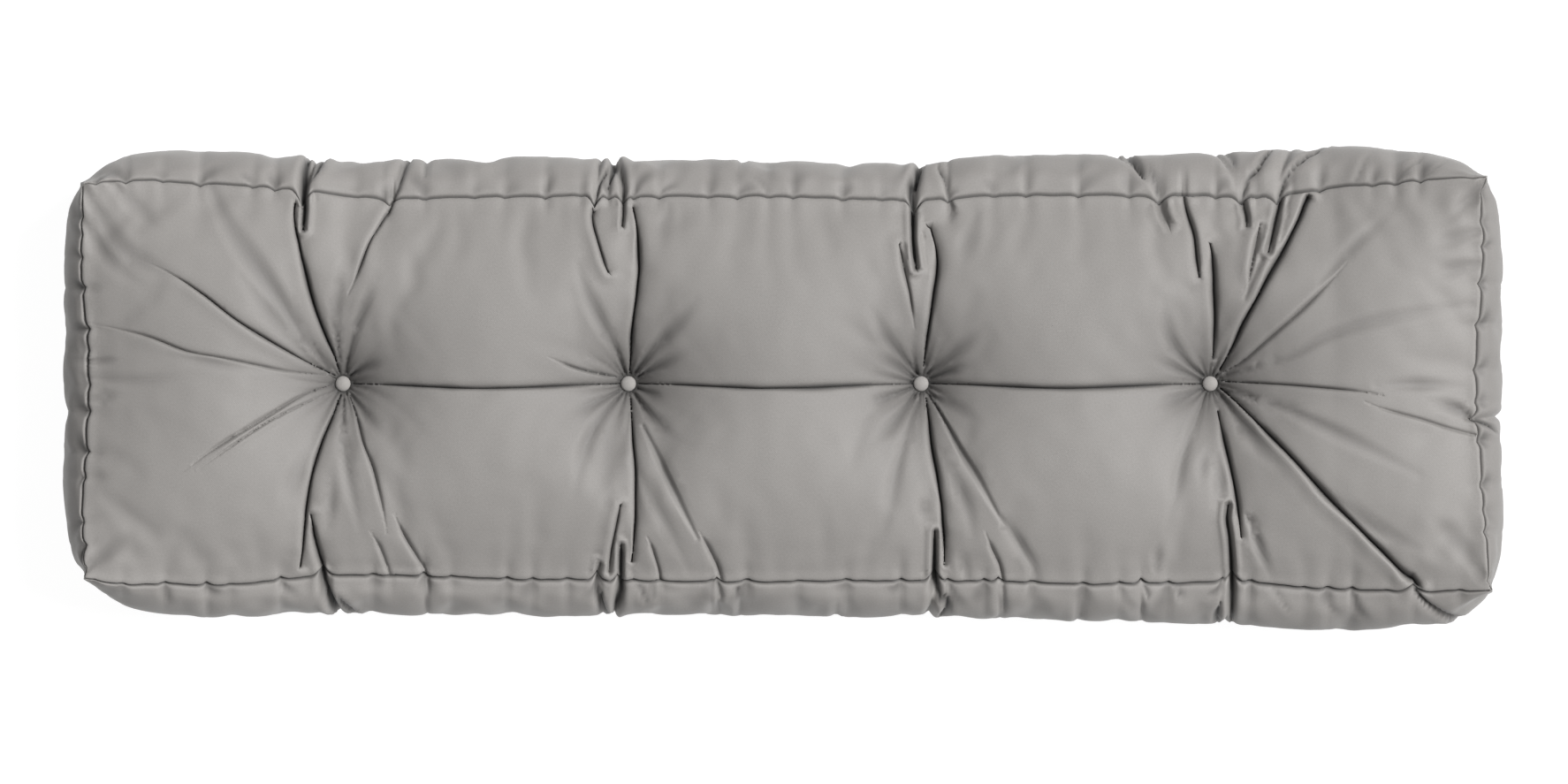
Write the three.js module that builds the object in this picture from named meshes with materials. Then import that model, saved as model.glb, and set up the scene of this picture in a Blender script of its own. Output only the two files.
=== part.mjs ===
// A tufted bench cushion lying on its back: one filled, boxed pad drawn down by four covered buttons.
// Millimetres, +Z up, the length along X. The origin is under the middle of the pad, on the surface it lies on.
import * as THREE from "three";

// Driving sizes
const BOXING_WIDTH = 116; // the side strip, seam to seam, measured over its bulge
const MID_HEIGHT = 60; // height of the fullest line of the sides
const CROWN = 34; // how far the filled face rises above its seam
const CROWN_REACH = 150; // distance from a seam at which the face is level
const PUFF_DEPTH = 7; // how far the broad rolls between puffs sink
const PUFF_REACH = 72;
const BUTTON_RADIUS = 6.3;
const BUTTON_HEIGHT = 4.6;
const BUTTON_EDGE = 1.3; // height of the straight rim of a button
const SEAT_HEIGHT = 84; // where the face is tied down under a button
const SEAT_HALF = 10.5; // half the flat square under a button
const SEAT_GAP = 0.3;
const TUFT_REACH = 30; // how quickly the face climbs away from a button
const UNDER_EDGE_REACH = 52; // the underside is flat this far in from its seam
const UNDER_DIMPLE_DEPTH = 16;
const UNDER_DIMPLE_RADIUS = 62;
const ROLL_POWER = 2.1; // how sharply a puff rolls into a fold
const FOLD_FLOOR = 2.5; // the bottom of a fold is rounded to this
const MERGE_POWER = 3; // folds that meet share their depth by this norm
const SEAM_PULL_REACH = 42; // a tuck at the seam draws the face in over this distance
const SIDE_FADE = 0.62; // a side fold is gone this far down the strip

// Mesh density
const CELLS = [22, 14, 14, 14, 22]; // along the length, between one crosswise fold and the next
const CELLS_PER_HALF = 15;
const SIDE_RINGS = 7;
const CLUSTER = 0.66; // 0 spaces the lines evenly, towards 1 gathers them at the folds

// The four sides in plan. at runs along the side, seam is the face seam and out the fullest outline.
const BACK_SIDE = [
  { at: -584, seam: 171, out: 173 },
  { at: -559, seam: 173, out: 190 },
  { at: -514, seam: 173, out: 198 },
  { at: -433, seam: 169, out: 196 },
  { at: -394, seam: 166, out: 193 },
  { at: -359, seam: 160, out: 191 },
  { at: -211, seam: 161, out: 193 },
  { at: -27, seam: 161, out: 191 },
  { at: 109, seam: 158, out: 190 },
  { at: 173, seam: 162, out: 196 },
  { at: 306, seam: 162, out: 197 },
  { at: 409, seam: 161, out: 201 },
  { at: 454, seam: 168, out: 203 },
  { at: 528, seam: 174, out: 198 },
  { at: 565, seam: 176, out: 189 },
  { at: 586, seam: 177, out: 178 },
];
const FRONT_SIDE = [
  { at: -582, seam: -158, out: -161 },
  { at: -559, seam: -163, out: -177 },
  { at: -522, seam: -164, out: -187 },
  { at: -463, seam: -164, out: -192 },
  { at: -367, seam: -157, out: -189 },
  { at: -211, seam: -160, out: -191 },
  { at: -19, seam: -162, out: -190 },
  { at: 121, seam: -161, out: -192 },
  { at: 269, seam: -164, out: -195 },
  { at: 374, seam: -162, out: -199 },
  { at: 454, seam: -168, out: -203 },
  { at: 528, seam: -170, out: -199 },
  { at: 568, seam: -170, out: -190 },
  { at: 590, seam: -169, out: -170 },
];
const LEFT_END = [
  { at: -158, seam: -582, out: -582 },
  { at: -141, seam: -583, out: -591 },
  { at: -104, seam: -584, out: -598 },
  { at: -45, seam: -581, out: -600 },
  { at: 29, seam: -579, out: -600 },
  { at: 88, seam: -584, out: -599 },
  { at: 133, seam: -585, out: -597 },
  { at: 155, seam: -584, out: -593 },
  { at: 171, seam: -584, out: -584 },
];
const RIGHT_END = [
  { at: -169, seam: 590, out: 590 },
  { at: -156, seam: 588, out: 593 },
  { at: -133, seam: 587, out: 599 },
  { at: -59, seam: 581, out: 600 },
  { at: 0, seam: 578, out: 600 },
  { at: 29, seam: 578, out: 600 },
  { at: 88, seam: 582, out: 600 },
  { at: 125, seam: 583, out: 599 },
  { at: 155, seam: 582, out: 594 },
  { at: 177, seam: 586, out: 586 },
];

// The buttons, and the sagging line of the long fold between them.
const BUTTONS = [
  { name: "button_1", x: -367, y: 4 },
  { name: "button_2", x: -129, y: 4 },
  { name: "button_3", x: 115, y: 4 },
  { name: "button_4", x: 356, y: 4 },
];
const MIDLINE_SAG = 4;

// Where each crosswise fold runs: x at the front seam, half way, at the button, half way, and at the back seam,
// then its depth and half width on either side of the button.
const CROSS_FOLDS = [
  { front: -385, frontHalf: -395, button: -367, backHalf: -393, back: -402, frontDeep: 16, backDeep: 18, wide: 16 },
  { front: -136, frontHalf: -124, button: -129, backHalf: -122, back: -132, frontDeep: 16, backDeep: 17, wide: 16 },
  { front: 128, frontHalf: 127, button: 115, backHalf: 127, back: 111, frontDeep: 18, backDeep: 16, wide: 16 },
  { front: 375, frontHalf: 374, button: 356, backHalf: 359, back: 360, frontDeep: 18, backDeep: 11, wide: 15 },
];
const CROSS_START = 0.08; // the folds begin this share of the way out from a button
const CROSS_END = 0.94;

// Folds of the face. deep and wide are the depth and the half width, start and end the share of both kept there.
const FOLDS = [
  { name: "long_fold_1", deep: 11, wide: 15, start: 0.4, end: 0.4, path: [[-360, 4], [-258, 0], [-136, 4]] },
  { name: "long_fold_2", deep: 11, wide: 15, start: 0.4, end: 0.4, path: [[-122, 4], [-20, 0], [108, 4]] },
  { name: "long_fold_3", deep: 11, wide: 15, start: 0.4, end: 0.4, path: [[122, 4], [222, 0], [349, 4]] },
  { name: "tuck_1_back", deep: 16, wide: 14, start: 0.3, end: 1, path: [[-399, 128], [-400, 153], [-399, 175]] },
  { name: "tuck_1_front", deep: 14, wide: 14, start: 0.3, end: 1, path: [[-393, -105], [-385, -144], [-378, -176]] },
  { name: "tuck_2_back", deep: 12, wide: 13, start: 0.3, end: 1, path: [[-134, 134], [-134, 173]] },
  { name: "pocket_2_back", deep: 10, wide: 16, start: 0.3, end: 1, path: [[-145, 94], [-154, 122], [-156, 160]] },
  { name: "tuck_2_front", deep: 14, wide: 14, start: 0.3, end: 1, path: [[-136, -122], [-138, -156], [-141, -180]] },
  { name: "tuck_3_back", deep: 16, wide: 14, start: 0.3, end: 1, path: [[111, 97], [109, 149], [109, 180]] },
  { name: "tuck_3_front", deep: 15, wide: 14, start: 0.3, end: 1, path: [[126, -112], [125, -150], [130, -180]] },
  { name: "pocket_4_back", deep: 10, wide: 17, start: 0.9, end: 0.3, path: [[330, 164], [338, 136], [345, 98]] },
  { name: "fold_4_slant", deep: 15, wide: 27, start: 0.5, end: 0.6, path: [[361, 11], [402, 87], [421, 118], [438, 164]] },
  { name: "tuck_4_front", deep: 16, wide: 14, start: 0.3, end: 1, path: [[369, -94], [373, -148], [375, -190]] },
  { name: "corner_fold", deep: 15, wide: 32, start: 0.5, end: 0.5, path: [[363, -2], [439, -74], [527, -162], [546, -181]] },
  { name: "right_fan_1", deep: 9, wide: 34, start: 0.8, end: 0.2, path: [[364, 10], [439, 76], [502, 144]] },
  { name: "right_fan_2", deep: 6, wide: 34, start: 0.5, end: 0.3, path: [[395, 20], [454, 41], [574, 76]] },
  { name: "right_fan_3", deep: 10, wide: 26, start: 0.8, end: 0.1, path: [[366, 3], [461, 0], [500, -6]] },
  { name: "right_fan_4", deep: 6, wide: 32, start: 0.6, end: 0.2, path: [[372, -3], [468, -37], [557, -79]] },
  { name: "left_fan_1", deep: 12, wide: 33, start: 0.8, end: 0.5, path: [[-374, 9], [-448, 52], [-507, 93], [-544, 110], [-580, 157]] },
  { name: "left_fan_2", deep: 9, wide: 30, start: 0.7, end: 0.3, path: [[-378, 10], [-492, 30], [-576, 52]] },
  { name: "left_fan_3", deep: 10, wide: 28, start: 0.8, end: 0.1, path: [[-376, 0], [-463, -45], [-522, -82]] },
  { name: "left_fan_4", deep: 6, wide: 30, start: 0.5, end: 0.2, path: [[-377, 20], [-411, 75], [-474, 156]] },
  { name: "tuck_between_1", deep: 10, wide: 14, start: 0.2, end: 0.9, path: [[-358, 82], [-340, 130], [-320, 172]] },
];

// Tucks that cross a side's seam: where they meet the seam and the outline, how far each is drawn in, and half width.
const SIDE_FOLDS = [
  { side: "back", seamAt: -400, outAt: -389, seamDip: 13, outDip: 9, half: 17 },
  { side: "back", seamAt: -328, outAt: -316, seamDip: 6, outDip: 3, half: 14 },
  { side: "back", seamAt: -157, outAt: -152, seamDip: 9, outDip: 3, half: 14 },
  { side: "back", seamAt: -133, outAt: -141, seamDip: 7, outDip: 8, half: 15 },
  { side: "back", seamAt: 109, outAt: 114, seamDip: 11, outDip: 9, half: 17 },
  { side: "back", seamAt: 313, outAt: 278, seamDip: 7, outDip: 7, half: 18 },
  { side: "back", seamAt: 381, outAt: 361, seamDip: 7, outDip: 5, half: 16 },
  { side: "back", seamAt: 411, outAt: 424, seamDip: 7, outDip: 3, half: 16 },
  { side: "front", seamAt: -383, outAt: -370, seamDip: 9, outDip: 7, half: 17 },
  { side: "front", seamAt: -148, outAt: -141, seamDip: 7, outDip: 7, half: 17 },
  { side: "front", seamAt: 126, outAt: 122, seamDip: 10, outDip: 8, half: 17 },
  { side: "front", seamAt: 374, outAt: 369, seamDip: 9, outDip: 6, half: 17 },
  { side: "front", seamAt: 527, outAt: 566, seamDip: 5, outDip: 4, half: 26 },
  { side: "right", seamAt: -25, outAt: -23, seamDip: 6, outDip: 5, half: 15 },
];

const clamp = (value, low, high) => Math.min(Math.max(value, low), high);
const mix = (a, b, f) => a + (b - a) * f;
const roll = (q) => (q < 1 ? (1 - q) ** ROLL_POWER : 0);

// A smooth curve through one column of a table, read at a place along it.
function along(rows, at, column) {
  const last = rows.length - 1;
  let i = 0;
  while (i < last - 1 && at > rows[i + 1].at) i++;
  const slope = (j) => {
    const p = rows[Math.max(j - 1, 0)];
    const q = rows[Math.min(j + 1, last)];
    return (q[column] - p[column]) / (q.at - p.at);
  };
  const a = rows[i];
  const b = rows[i + 1];
  const span = b.at - a.at;
  const f = clamp((at - a.at) / span, 0, 1);
  const g = 1 - f;
  return (
    a[column] * g * g * (1 + 2 * f) +
    b[column] * f * f * (1 + 2 * g) +
    span * f * g * (slope(i) * g - slope(i + 1) * f)
  );
}

// The chord that a strip of BOXING_WIDTH keeps once it bulges out by that much.
function chord(bulge) {
  const slack = Math.max(BOXING_WIDTH ** 2 - (32 / 3) * bulge ** 2, (BOXING_WIDTH / 4) ** 2);
  return (BOXING_WIDTH + Math.sqrt(slack)) / 2;
}

const bulgeAt = (rows, at) => Math.abs(along(rows, at, "out") - along(rows, at, "seam"));
const midline = (x) => {
  const first = BUTTONS[0].x;
  const last = BUTTONS[3].x;
  const phase = ((clamp(x, first, last) - first) / (last - first)) * BUTTONS.length * Math.PI;
  return BUTTONS[0].y - MIDLINE_SAG * Math.sin((phase * 3) / 4) ** 2;
};

// x of the crosswise mesh line k at height v in plan, -1 at the front seam and 1 at the back seam.
function lineX(k, v) {
  const row = CROSS_FOLDS[k];
  const [half, seam] = v > 0 ? [row.backHalf, row.back] : [row.frontHalf, row.front];
  const f = Math.abs(v);
  return row.button * (1 - f) * (1 - 2 * f) + half * 4 * f * (1 - f) + seam * f * (2 * f - 1);
}

// Gathers evenly spaced shares towards both ends of their span.
const gather = (f) => f - (CLUSTER * Math.sin(2 * Math.PI * f)) / (2 * Math.PI);

function endX(rows, v) {
  const corner = v > 0 ? rows[rows.length - 1].at : rows[0].at;
  return along(rows, mix(BUTTONS[0].y, corner, Math.abs(v)), "seam");
}

// Plan position of a face point before the tucks draw it in.
function planPoint(u, v) {
  const patch = Math.min(Math.floor(u), CROSS_FOLDS.length);
  const low = patch === 0 ? endX(LEFT_END, v) : lineX(patch - 1, v);
  const high = patch === CROSS_FOLDS.length ? endX(RIGHT_END, v) : lineX(patch, v);
  const x = mix(low, high, u - patch);
  const seam = along(v > 0 ? BACK_SIDE : FRONT_SIDE, x, "seam");
  return { x, y: mix(midline(x), seam, Math.abs(v)) };
}

const SIDES = {
  back: { rows: BACK_SIDE, sign: 1, lengthwise: true },
  front: { rows: FRONT_SIDE, sign: -1, lengthwise: true },
  left: { rows: LEFT_END, sign: -1, lengthwise: false },
  right: { rows: RIGHT_END, sign: 1, lengthwise: false },
};

const placeOn = (side, p) => (SIDES[side].lengthwise ? p.x : p.y);
const halfChord = (side, p) => chord(bulgeAt(SIDES[side].rows, placeOn(side, p))) / 2;

// Distance from a face point to the seam of a side.
function toSeam(side, p) {
  const { rows, sign, lengthwise } = SIDES[side];
  return (along(rows, placeOn(side, p), "seam") - (lengthwise ? p.y : p.x)) * sign;
}

// The seam's half height over the face: the four edges blended across it.
function seamLift(p) {
  const corners = BOXING_WIDTH / 2;
  const across = clamp(toSeam("front", p) / (toSeam("front", p) + toSeam("back", p)), 0, 1);
  const length = clamp(toSeam("left", p) / (toSeam("left", p) + toSeam("right", p)), 0, 1);
  const longSides = mix(halfChord("front", p), halfChord("back", p), across);
  const ends = mix(halfChord("left", p), halfChord("right", p), length);
  return longSides + ends - corners;
}

// Nearest place on a path: its distance, and how far along the path it is, 0 to 1.
function nearest(path, p) {
  const lengths = path.slice(1).map(([x, y], i) => Math.hypot(x - path[i][0], y - path[i][1]));
  const total = lengths.reduce((a, b) => a + b, 0);
  let best = { distance: Infinity, share: 0 };
  let before = 0;
  lengths.forEach((length, i) => {
    const [ax, ay] = path[i];
    const [bx, by] = path[i + 1];
    const f = clamp(((p.x - ax) * (bx - ax) + (p.y - ay) * (by - ay)) / length ** 2, 0, 1);
    const distance = Math.hypot(p.x - mix(ax, bx, f), p.y - mix(ay, by, f));
    if (distance < best.distance) best = { distance, share: (before + f * length) / total };
    before += length;
  });
  return best;
}

function foldDepth(fold, p) {
  const { distance, share } = nearest(fold.path, p);
  if (distance >= fold.wide) return 0;
  const middle = Math.sin(Math.PI * share);
  const kept = mix(mix(fold.start, fold.end, share), 1, middle);
  const off = Math.hypot(distance, FOLD_FLOOR) - FOLD_FLOOR;
  return fold.deep * kept * roll(off / (fold.wide * mix(0.6, 1, kept)));
}

// The crosswise folds as rows like those of FOLDS, following the mesh lines so that they stay crisp.
const STATIONS = [0, 0.2, 0.4, 0.6, 0.8, 1].map((f) => mix(CROSS_START, CROSS_END, f));
const ALL_FOLDS = [
  ...FOLDS,
  ...CROSS_FOLDS.flatMap((row, k) =>
    [-1, 1].map((way) => ({
      deep: way > 0 ? row.backDeep : row.frontDeep,
      wide: row.wide,
      start: 0.5,
      end: 0.5,
      path: STATIONS.map((f) => planPoint(k + 1, way * f)).map(({ x, y }) => [x, y]),
    })),
  ),
];

// The broad rolls along the crosswise folds and the midline, which part the face into puffs.
function puffDepth(p, v) {
  const across = Math.min(...CROSS_FOLDS.map((row, k) => Math.abs(p.x - lineX(k, v))));
  const inPuffs = p.x > BUTTONS[0].x && p.x < BUTTONS[3].x;
  const endward = inPuffs ? 0 : Math.min(Math.abs(p.x - BUTTONS[0].x), Math.abs(p.x - BUTTONS[3].x));
  const lengthwise = Math.hypot(p.y - midline(p.x), endward);
  const sums = [across, lengthwise].map((d) => roll(d / PUFF_REACH) ** MERGE_POWER);
  return PUFF_DEPTH * (sums[0] + sums[1]) ** (1 / MERGE_POWER);
}

// How strongly a face point is held down by the nearest button: 1 on its seat, fading outwards.
function tuft(p) {
  const pulls = BUTTONS.map((b) => {
    const dx = Math.abs(p.x - b.x);
    const dy = Math.abs(p.y - b.y);
    if (Math.max(dx, dy) <= SEAT_HALF) return 1;
    return Math.exp(-Math.max(Math.hypot(dx, dy) - SEAT_HALF, 0) / TUFT_REACH);
  });
  return Math.max(...pulls);
}

function faceHeight(p, v) {
  const edge = Math.min(toSeam("front", p), toSeam("back", p));
  const end = Math.min(toSeam("left", p), toSeam("right", p));
  const rise = (d) => 1 - roll(clamp(d, 0, CROWN_REACH) / CROWN_REACH);
  const full = MID_HEIGHT + seamLift(p) + CROWN * rise(edge) * rise(end) - puffDepth(p, v) * rise(edge);
  const merged = ALL_FOLDS.reduce((sum, fold) => sum + foldDepth(fold, p) ** MERGE_POWER, 0);
  return mix(full - merged ** (1 / MERGE_POWER), SEAT_HEIGHT, tuft(p));
}

// How far a side is drawn in at one place of its strip: down runs from 0 at the seam to 1 at the lower seam.
function sideDip(side, at, down) {
  if (down >= SIDE_FADE) return 0;
  const f = clamp(down * 2, 0, 1);
  const fade = 1 - clamp((down - 0.5) / (SIDE_FADE - 0.5), 0, 1);
  return SIDE_FOLDS.filter((row) => row.side === side).reduce((most, row) => {
    const centre = mix(row.seamAt, row.outAt, f);
    const dip = mix(row.seamDip, row.outDip, f) * roll(Math.abs(at - centre) / row.half);
    return Math.max(most, dip * fade);
  }, 0);
}

// The top face point at (u, v), drawn in where a tuck pulls the near seam.
function facePoint(u, v) {
  const p = planPoint(u, v);
  const z = faceHeight(p, v);
  for (const side of Object.keys(SIDES)) {
    const { sign, lengthwise } = SIDES[side];
    const pull = sideDip(side, placeOn(side, p), 0) * roll(clamp(toSeam(side, p), 0, SEAM_PULL_REACH) / SEAM_PULL_REACH);
    if (lengthwise) p.y -= sign * pull;
    else p.x -= sign * pull;
  }
  return [p.x, p.y, z];
}

// A point of the bulged side strip.
function sidePoint(side, u, v, down) {
  const p = planPoint(u, v);
  const { rows, sign, lengthwise } = SIDES[side];
  const at = placeOn(side, p);
  const bulge = bulgeAt(rows, at);
  const out = bulge * Math.sin(Math.PI * down) ** 0.85 - sideDip(side, at, down);
  const drop = MID_HEIGHT + halfChord(side, p) - faceHeight(p, v);
  const z = MID_HEIGHT + halfChord(side, p) * Math.cos(Math.PI * down) - drop * Math.max(1 - 2 * down, 0);
  return lengthwise ? [p.x, p.y + sign * out, z] : [p.x + sign * out, p.y, z];
}

// The underside: flat on the surface, lifting to its seam and dimpled where the ties come through.
function underPoint(u, v) {
  const p = planPoint(u, v);
  const inward = Math.min(...Object.keys(SIDES).map((side) => toSeam(side, p)));
  const seamZ = MID_HEIGHT - seamLift(p);
  const lift = seamZ * roll(clamp(inward, 0, UNDER_EDGE_REACH) / UNDER_EDGE_REACH);
  const dimple = BUTTONS.reduce((most, b) => {
    const q = Math.hypot(p.x - b.x, p.y - b.y) / UNDER_DIMPLE_RADIUS;
    return Math.max(most, UNDER_DIMPLE_DEPTH * (1 - Math.min(q, 1) ** 2) ** 2);
  }, 0);
  return [p.x, p.y, Math.max(lift, 0) + dimple];
}

// The whole pad as one closed surface: face grid, rings down the side strip, and a coarser underside.
function padGeometry() {
  const lines = CELLS.flatMap((count, patch) => Array.from({ length: count }, (_, n) => patch + gather(n / count)));
  lines.push(CELLS.length);
  const columns = lines.length - 1;
  const rows = 2 * CELLS_PER_HALF;
  const uAt = (i) => lines[i];
  const vAt = (j) => {
    const f = j / CELLS_PER_HALF - 1;
    return Math.sign(f) * gather(Math.abs(f));
  };
  const positions = [];
  const faces = [];
  const add = (point) => positions.push(...point) / 3 - 1;
  const height = (index) => positions[3 * index + 2];
  // Splits a cell along its lower diagonal, so that a fold keeps a crisp bottom.
  const quad = (a, b, c, d) => {
    if (height(a) + height(c) <= height(b) + height(d)) faces.push(a, b, c, a, c, d);
    else faces.push(a, b, d, b, c, d);
  };

  const top = [];
  for (let i = 0; i <= columns; i++) {
    top.push([]);
    for (let j = 0; j <= rows; j++) top[i].push(add(facePoint(uAt(i), vAt(j))));
  }
  for (let i = 0; i < columns; i++)
    for (let j = 0; j < rows; j++) quad(top[i][j], top[i + 1][j], top[i + 1][j + 1], top[i][j + 1]);

  // The seam, anticlockwise from the front left corner.
  const rim = [];
  for (let i = 0; i < columns; i++) rim.push({ i, j: 0, side: "front" });
  for (let j = 0; j < rows; j++) rim.push({ i: columns, j, side: "right" });
  for (let i = columns; i > 0; i--) rim.push({ i, j: rows, side: "back" });
  for (let j = rows; j > 0; j--) rim.push({ i: 0, j, side: "left" });

  let ring = rim.map(({ i, j }) => top[i][j]);
  const under = new Map();
  for (let r = 1; r <= SIDE_RINGS; r++) {
    const lower = rim.map(({ i, j, side }) => {
      const isSeam = r === SIDE_RINGS;
      const point = isSeam ? underPoint(uAt(i), vAt(j)) : sidePoint(side, uAt(i), vAt(j), r / SIDE_RINGS);
      const index = add(point);
      if (isSeam) under.set(i + "," + j, index);
      return index;
    });
    ring.forEach((a, n) => {
      const next = (n + 1) % ring.length;
      quad(lower[n], lower[next], ring[next], a);
    });
    ring = lower;
  }

  const underIndex = (i, j) => {
    const key = i + "," + j;
    if (!under.has(key)) under.set(key, add(underPoint(uAt(i), vAt(j))));
    return under.get(key);
  };
  // Underside cells take two face cells each way; a cell on the seam keeps the seam's own points.
  const stops = (count) => Array.from({ length: Math.ceil(count / 2) + 1 }, (_, n) => Math.min(2 * n, count));
  const acrossStops = stops(columns);
  const alongStops = stops(rows);
  const between = (a, b, onSeam) => {
    if (!onSeam || Math.abs(a - b) < 2) return [];
    return [(a + b) / 2];
  };
  for (let m = 0; m + 1 < acrossStops.length; m++) {
    for (let n = 0; n + 1 < alongStops.length; n++) {
      const [i0, i1] = [acrossStops[m], acrossStops[m + 1]];
      const [j0, j1] = [alongStops[n], alongStops[n + 1]];
      const loop = [
        [i0, j0],
        ...between(i0, i1, j0 === 0).map((i) => [i, j0]),
        [i1, j0],
        ...between(j0, j1, i1 === columns).map((j) => [i1, j]),
        [i1, j1],
        ...between(i1, i0, j1 === rows).map((i) => [i, j1]),
        [i0, j1],
        ...between(j1, j0, i0 === 0).map((j) => [i0, j]),
      ];
      const inner = ([i, j]) => Math.abs(i - columns / 2) / columns + Math.abs(j - rows / 2) / rows;
      const start = loop.reduce((best, c, k) => (inner(c) < inner(loop[best]) ? k : best), 0);
      const turned = loop.map((c, k) => underIndex(...loop[(start + k) % loop.length]));
      for (let k = 1; k + 1 < turned.length; k++) faces.push(turned[0], turned[k + 1], turned[k]);
    }
  }

  const geometry = new THREE.BufferGeometry();
  geometry.setAttribute("position", new THREE.Float32BufferAttribute(positions, 3));
  geometry.setIndex(faces);
  geometry.computeVertexNormals();
  return geometry;
}

// A cloth-covered button: a flat back, a short rim and a shallow dome.
function buttonGeometry() {
  const steps = 7;
  const profile = [new THREE.Vector2(0, 0), new THREE.Vector2(BUTTON_RADIUS - 0.8, 0)];
  for (let k = 0; k <= steps; k++) {
    const angle = (k / steps) * (Math.PI / 2);
    const height = BUTTON_EDGE + (BUTTON_HEIGHT - BUTTON_EDGE) * Math.sin(angle);
    profile.push(new THREE.Vector2(k === steps ? 0 : BUTTON_RADIUS * Math.cos(angle), height));
  }
  return new THREE.LatheGeometry(profile, 24).rotateX(Math.PI / 2);
}

const coverCloth = new THREE.MeshStandardMaterial({ color: 0xa09c99, roughness: 0.85, metalness: 0 });
const buttonCloth = new THREE.MeshStandardMaterial({ color: 0xa8a4a0, roughness: 0.8, metalness: 0 });

const cushion = new THREE.Group();
const pad = new THREE.Mesh(padGeometry(), coverCloth);
pad.name = "cushion_pad";
pad.geometry.computeBoundingBox();
const { min, max } = pad.geometry.boundingBox;
const centring = [-(min.x + max.x) / 2, -(min.y + max.y) / 2, -min.z];
pad.geometry.translate(...centring);
cushion.add(pad);

for (const { name, x, y } of BUTTONS) {
  const button = new THREE.Mesh(buttonGeometry(), buttonCloth);
  button.name = name;
  button.position.set(x + centring[0], y + centring[1], SEAT_HEIGHT + SEAT_GAP + centring[2]);
  cushion.add(button);
}

export default cushion;
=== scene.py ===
"""A tufted bench cushion lying on its back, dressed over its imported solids, on a plain studio floor."""

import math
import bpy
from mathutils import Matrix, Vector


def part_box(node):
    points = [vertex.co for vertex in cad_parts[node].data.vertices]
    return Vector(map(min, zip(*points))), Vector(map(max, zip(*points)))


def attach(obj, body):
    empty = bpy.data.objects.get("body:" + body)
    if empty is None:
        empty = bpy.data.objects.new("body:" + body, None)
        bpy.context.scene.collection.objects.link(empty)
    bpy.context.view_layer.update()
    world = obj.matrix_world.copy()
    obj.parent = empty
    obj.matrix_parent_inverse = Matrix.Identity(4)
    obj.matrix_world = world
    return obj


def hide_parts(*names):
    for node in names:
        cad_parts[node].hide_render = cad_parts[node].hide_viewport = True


bl_info = {
    "name": "Tufted bench cushion",
    "version": (1, 0, 0),
    "blender": (4, 5, 0),
    "location": "View3D > Sidebar > Cushion",
    "description": "Builds a tufted bench cushion with its folds, seams and covered buttons, and its stage",
    "category": "Add Mesh",
}

from typing import NamedTuple

import bpy
import numpy as np
from mathutils import Vector, noise
from mathutils.kdtree import KDTree
from mathutils.geometry import delaunay_2d_cdt

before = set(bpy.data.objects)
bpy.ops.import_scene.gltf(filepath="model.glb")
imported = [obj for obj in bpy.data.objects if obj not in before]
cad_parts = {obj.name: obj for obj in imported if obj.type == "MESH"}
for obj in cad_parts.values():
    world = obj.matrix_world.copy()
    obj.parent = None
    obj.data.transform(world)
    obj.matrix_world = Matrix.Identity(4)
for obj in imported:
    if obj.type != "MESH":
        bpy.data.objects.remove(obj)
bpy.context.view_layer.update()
MM = 0.001


class Station(NamedTuple):
    """One place along a side in plan, mm: the face seam and the fullest outline there."""

    at: float
    seam: float
    out: float


BACK_SIDE = [
    Station(-584, 171, 173),
    Station(-559, 173, 190),
    Station(-514, 173, 198),
    Station(-433, 169, 196),
    Station(-394, 166, 193),
    Station(-359, 160, 191),
    Station(-211, 161, 193),
    Station(-27, 161, 191),
    Station(109, 158, 190),
    Station(173, 162, 196),
    Station(306, 162, 197),
    Station(409, 161, 201),
    Station(454, 168, 203),
    Station(528, 174, 198),
    Station(565, 176, 189),
    Station(586, 177, 178),
]
FRONT_SIDE = [
    Station(-582, -158, -161),
    Station(-559, -163, -177),
    Station(-522, -164, -187),
    Station(-463, -164, -192),
    Station(-367, -157, -189),
    Station(-211, -160, -191),
    Station(-19, -162, -190),
    Station(121, -161, -192),
    Station(269, -164, -195),
    Station(374, -162, -199),
    Station(454, -168, -203),
    Station(528, -170, -199),
    Station(568, -170, -190),
    Station(590, -169, -170),
]
LEFT_END = [
    Station(-158, -582, -582),
    Station(-141, -583, -591),
    Station(-104, -584, -598),
    Station(-45, -581, -600),
    Station(29, -579, -600),
    Station(88, -584, -599),
    Station(133, -585, -597),
    Station(155, -584, -593),
    Station(171, -584, -584),
]
RIGHT_END = [
    Station(-169, 590, 590),
    Station(-156, 588, 593),
    Station(-133, 587, 599),
    Station(-59, 581, 600),
    Station(0, 578, 600),
    Station(29, 578, 600),
    Station(88, 582, 600),
    Station(125, 583, 599),
    Station(155, 582, 594),
    Station(177, 586, 586),
]


class Side(NamedTuple):
    """One side of the pad: its stations, which way is out, and whether it runs along the length."""

    rows: list
    sign: int
    lengthwise: bool


SIDES = {
    "front": Side(FRONT_SIDE, -1, True),
    "right": Side(RIGHT_END, 1, False),
    "back": Side(BACK_SIDE, 1, True),
    "left": Side(LEFT_END, -1, False),
}


class Button(NamedTuple):
    """A tuft: the node it covers and its place in plan, mm."""

    node: str
    x: float
    y: float


BUTTONS = [
    Button("button_1", -367, 4),
    Button("button_2", -129, 4),
    Button("button_3", 115, 4),
    Button("button_4", 356, 4),
]


class CrossFold(NamedTuple):
    """Where a crosswise fold runs, mm: x at the front seam, half way, at the button, half way and at the back
    seam."""

    front: float
    front_half: float
    button: float
    back_half: float
    back: float


CROSS_FOLDS = [
    CrossFold(-385, -395, -367, -393, -402),
    CrossFold(-136, -124, -129, -122, -132),
    CrossFold(128, 127, 115, 127, 111),
    CrossFold(375, 374, 356, 359, 360),
]

HALF_LENGTH = 600
HALF_WIDTH = 200

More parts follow.
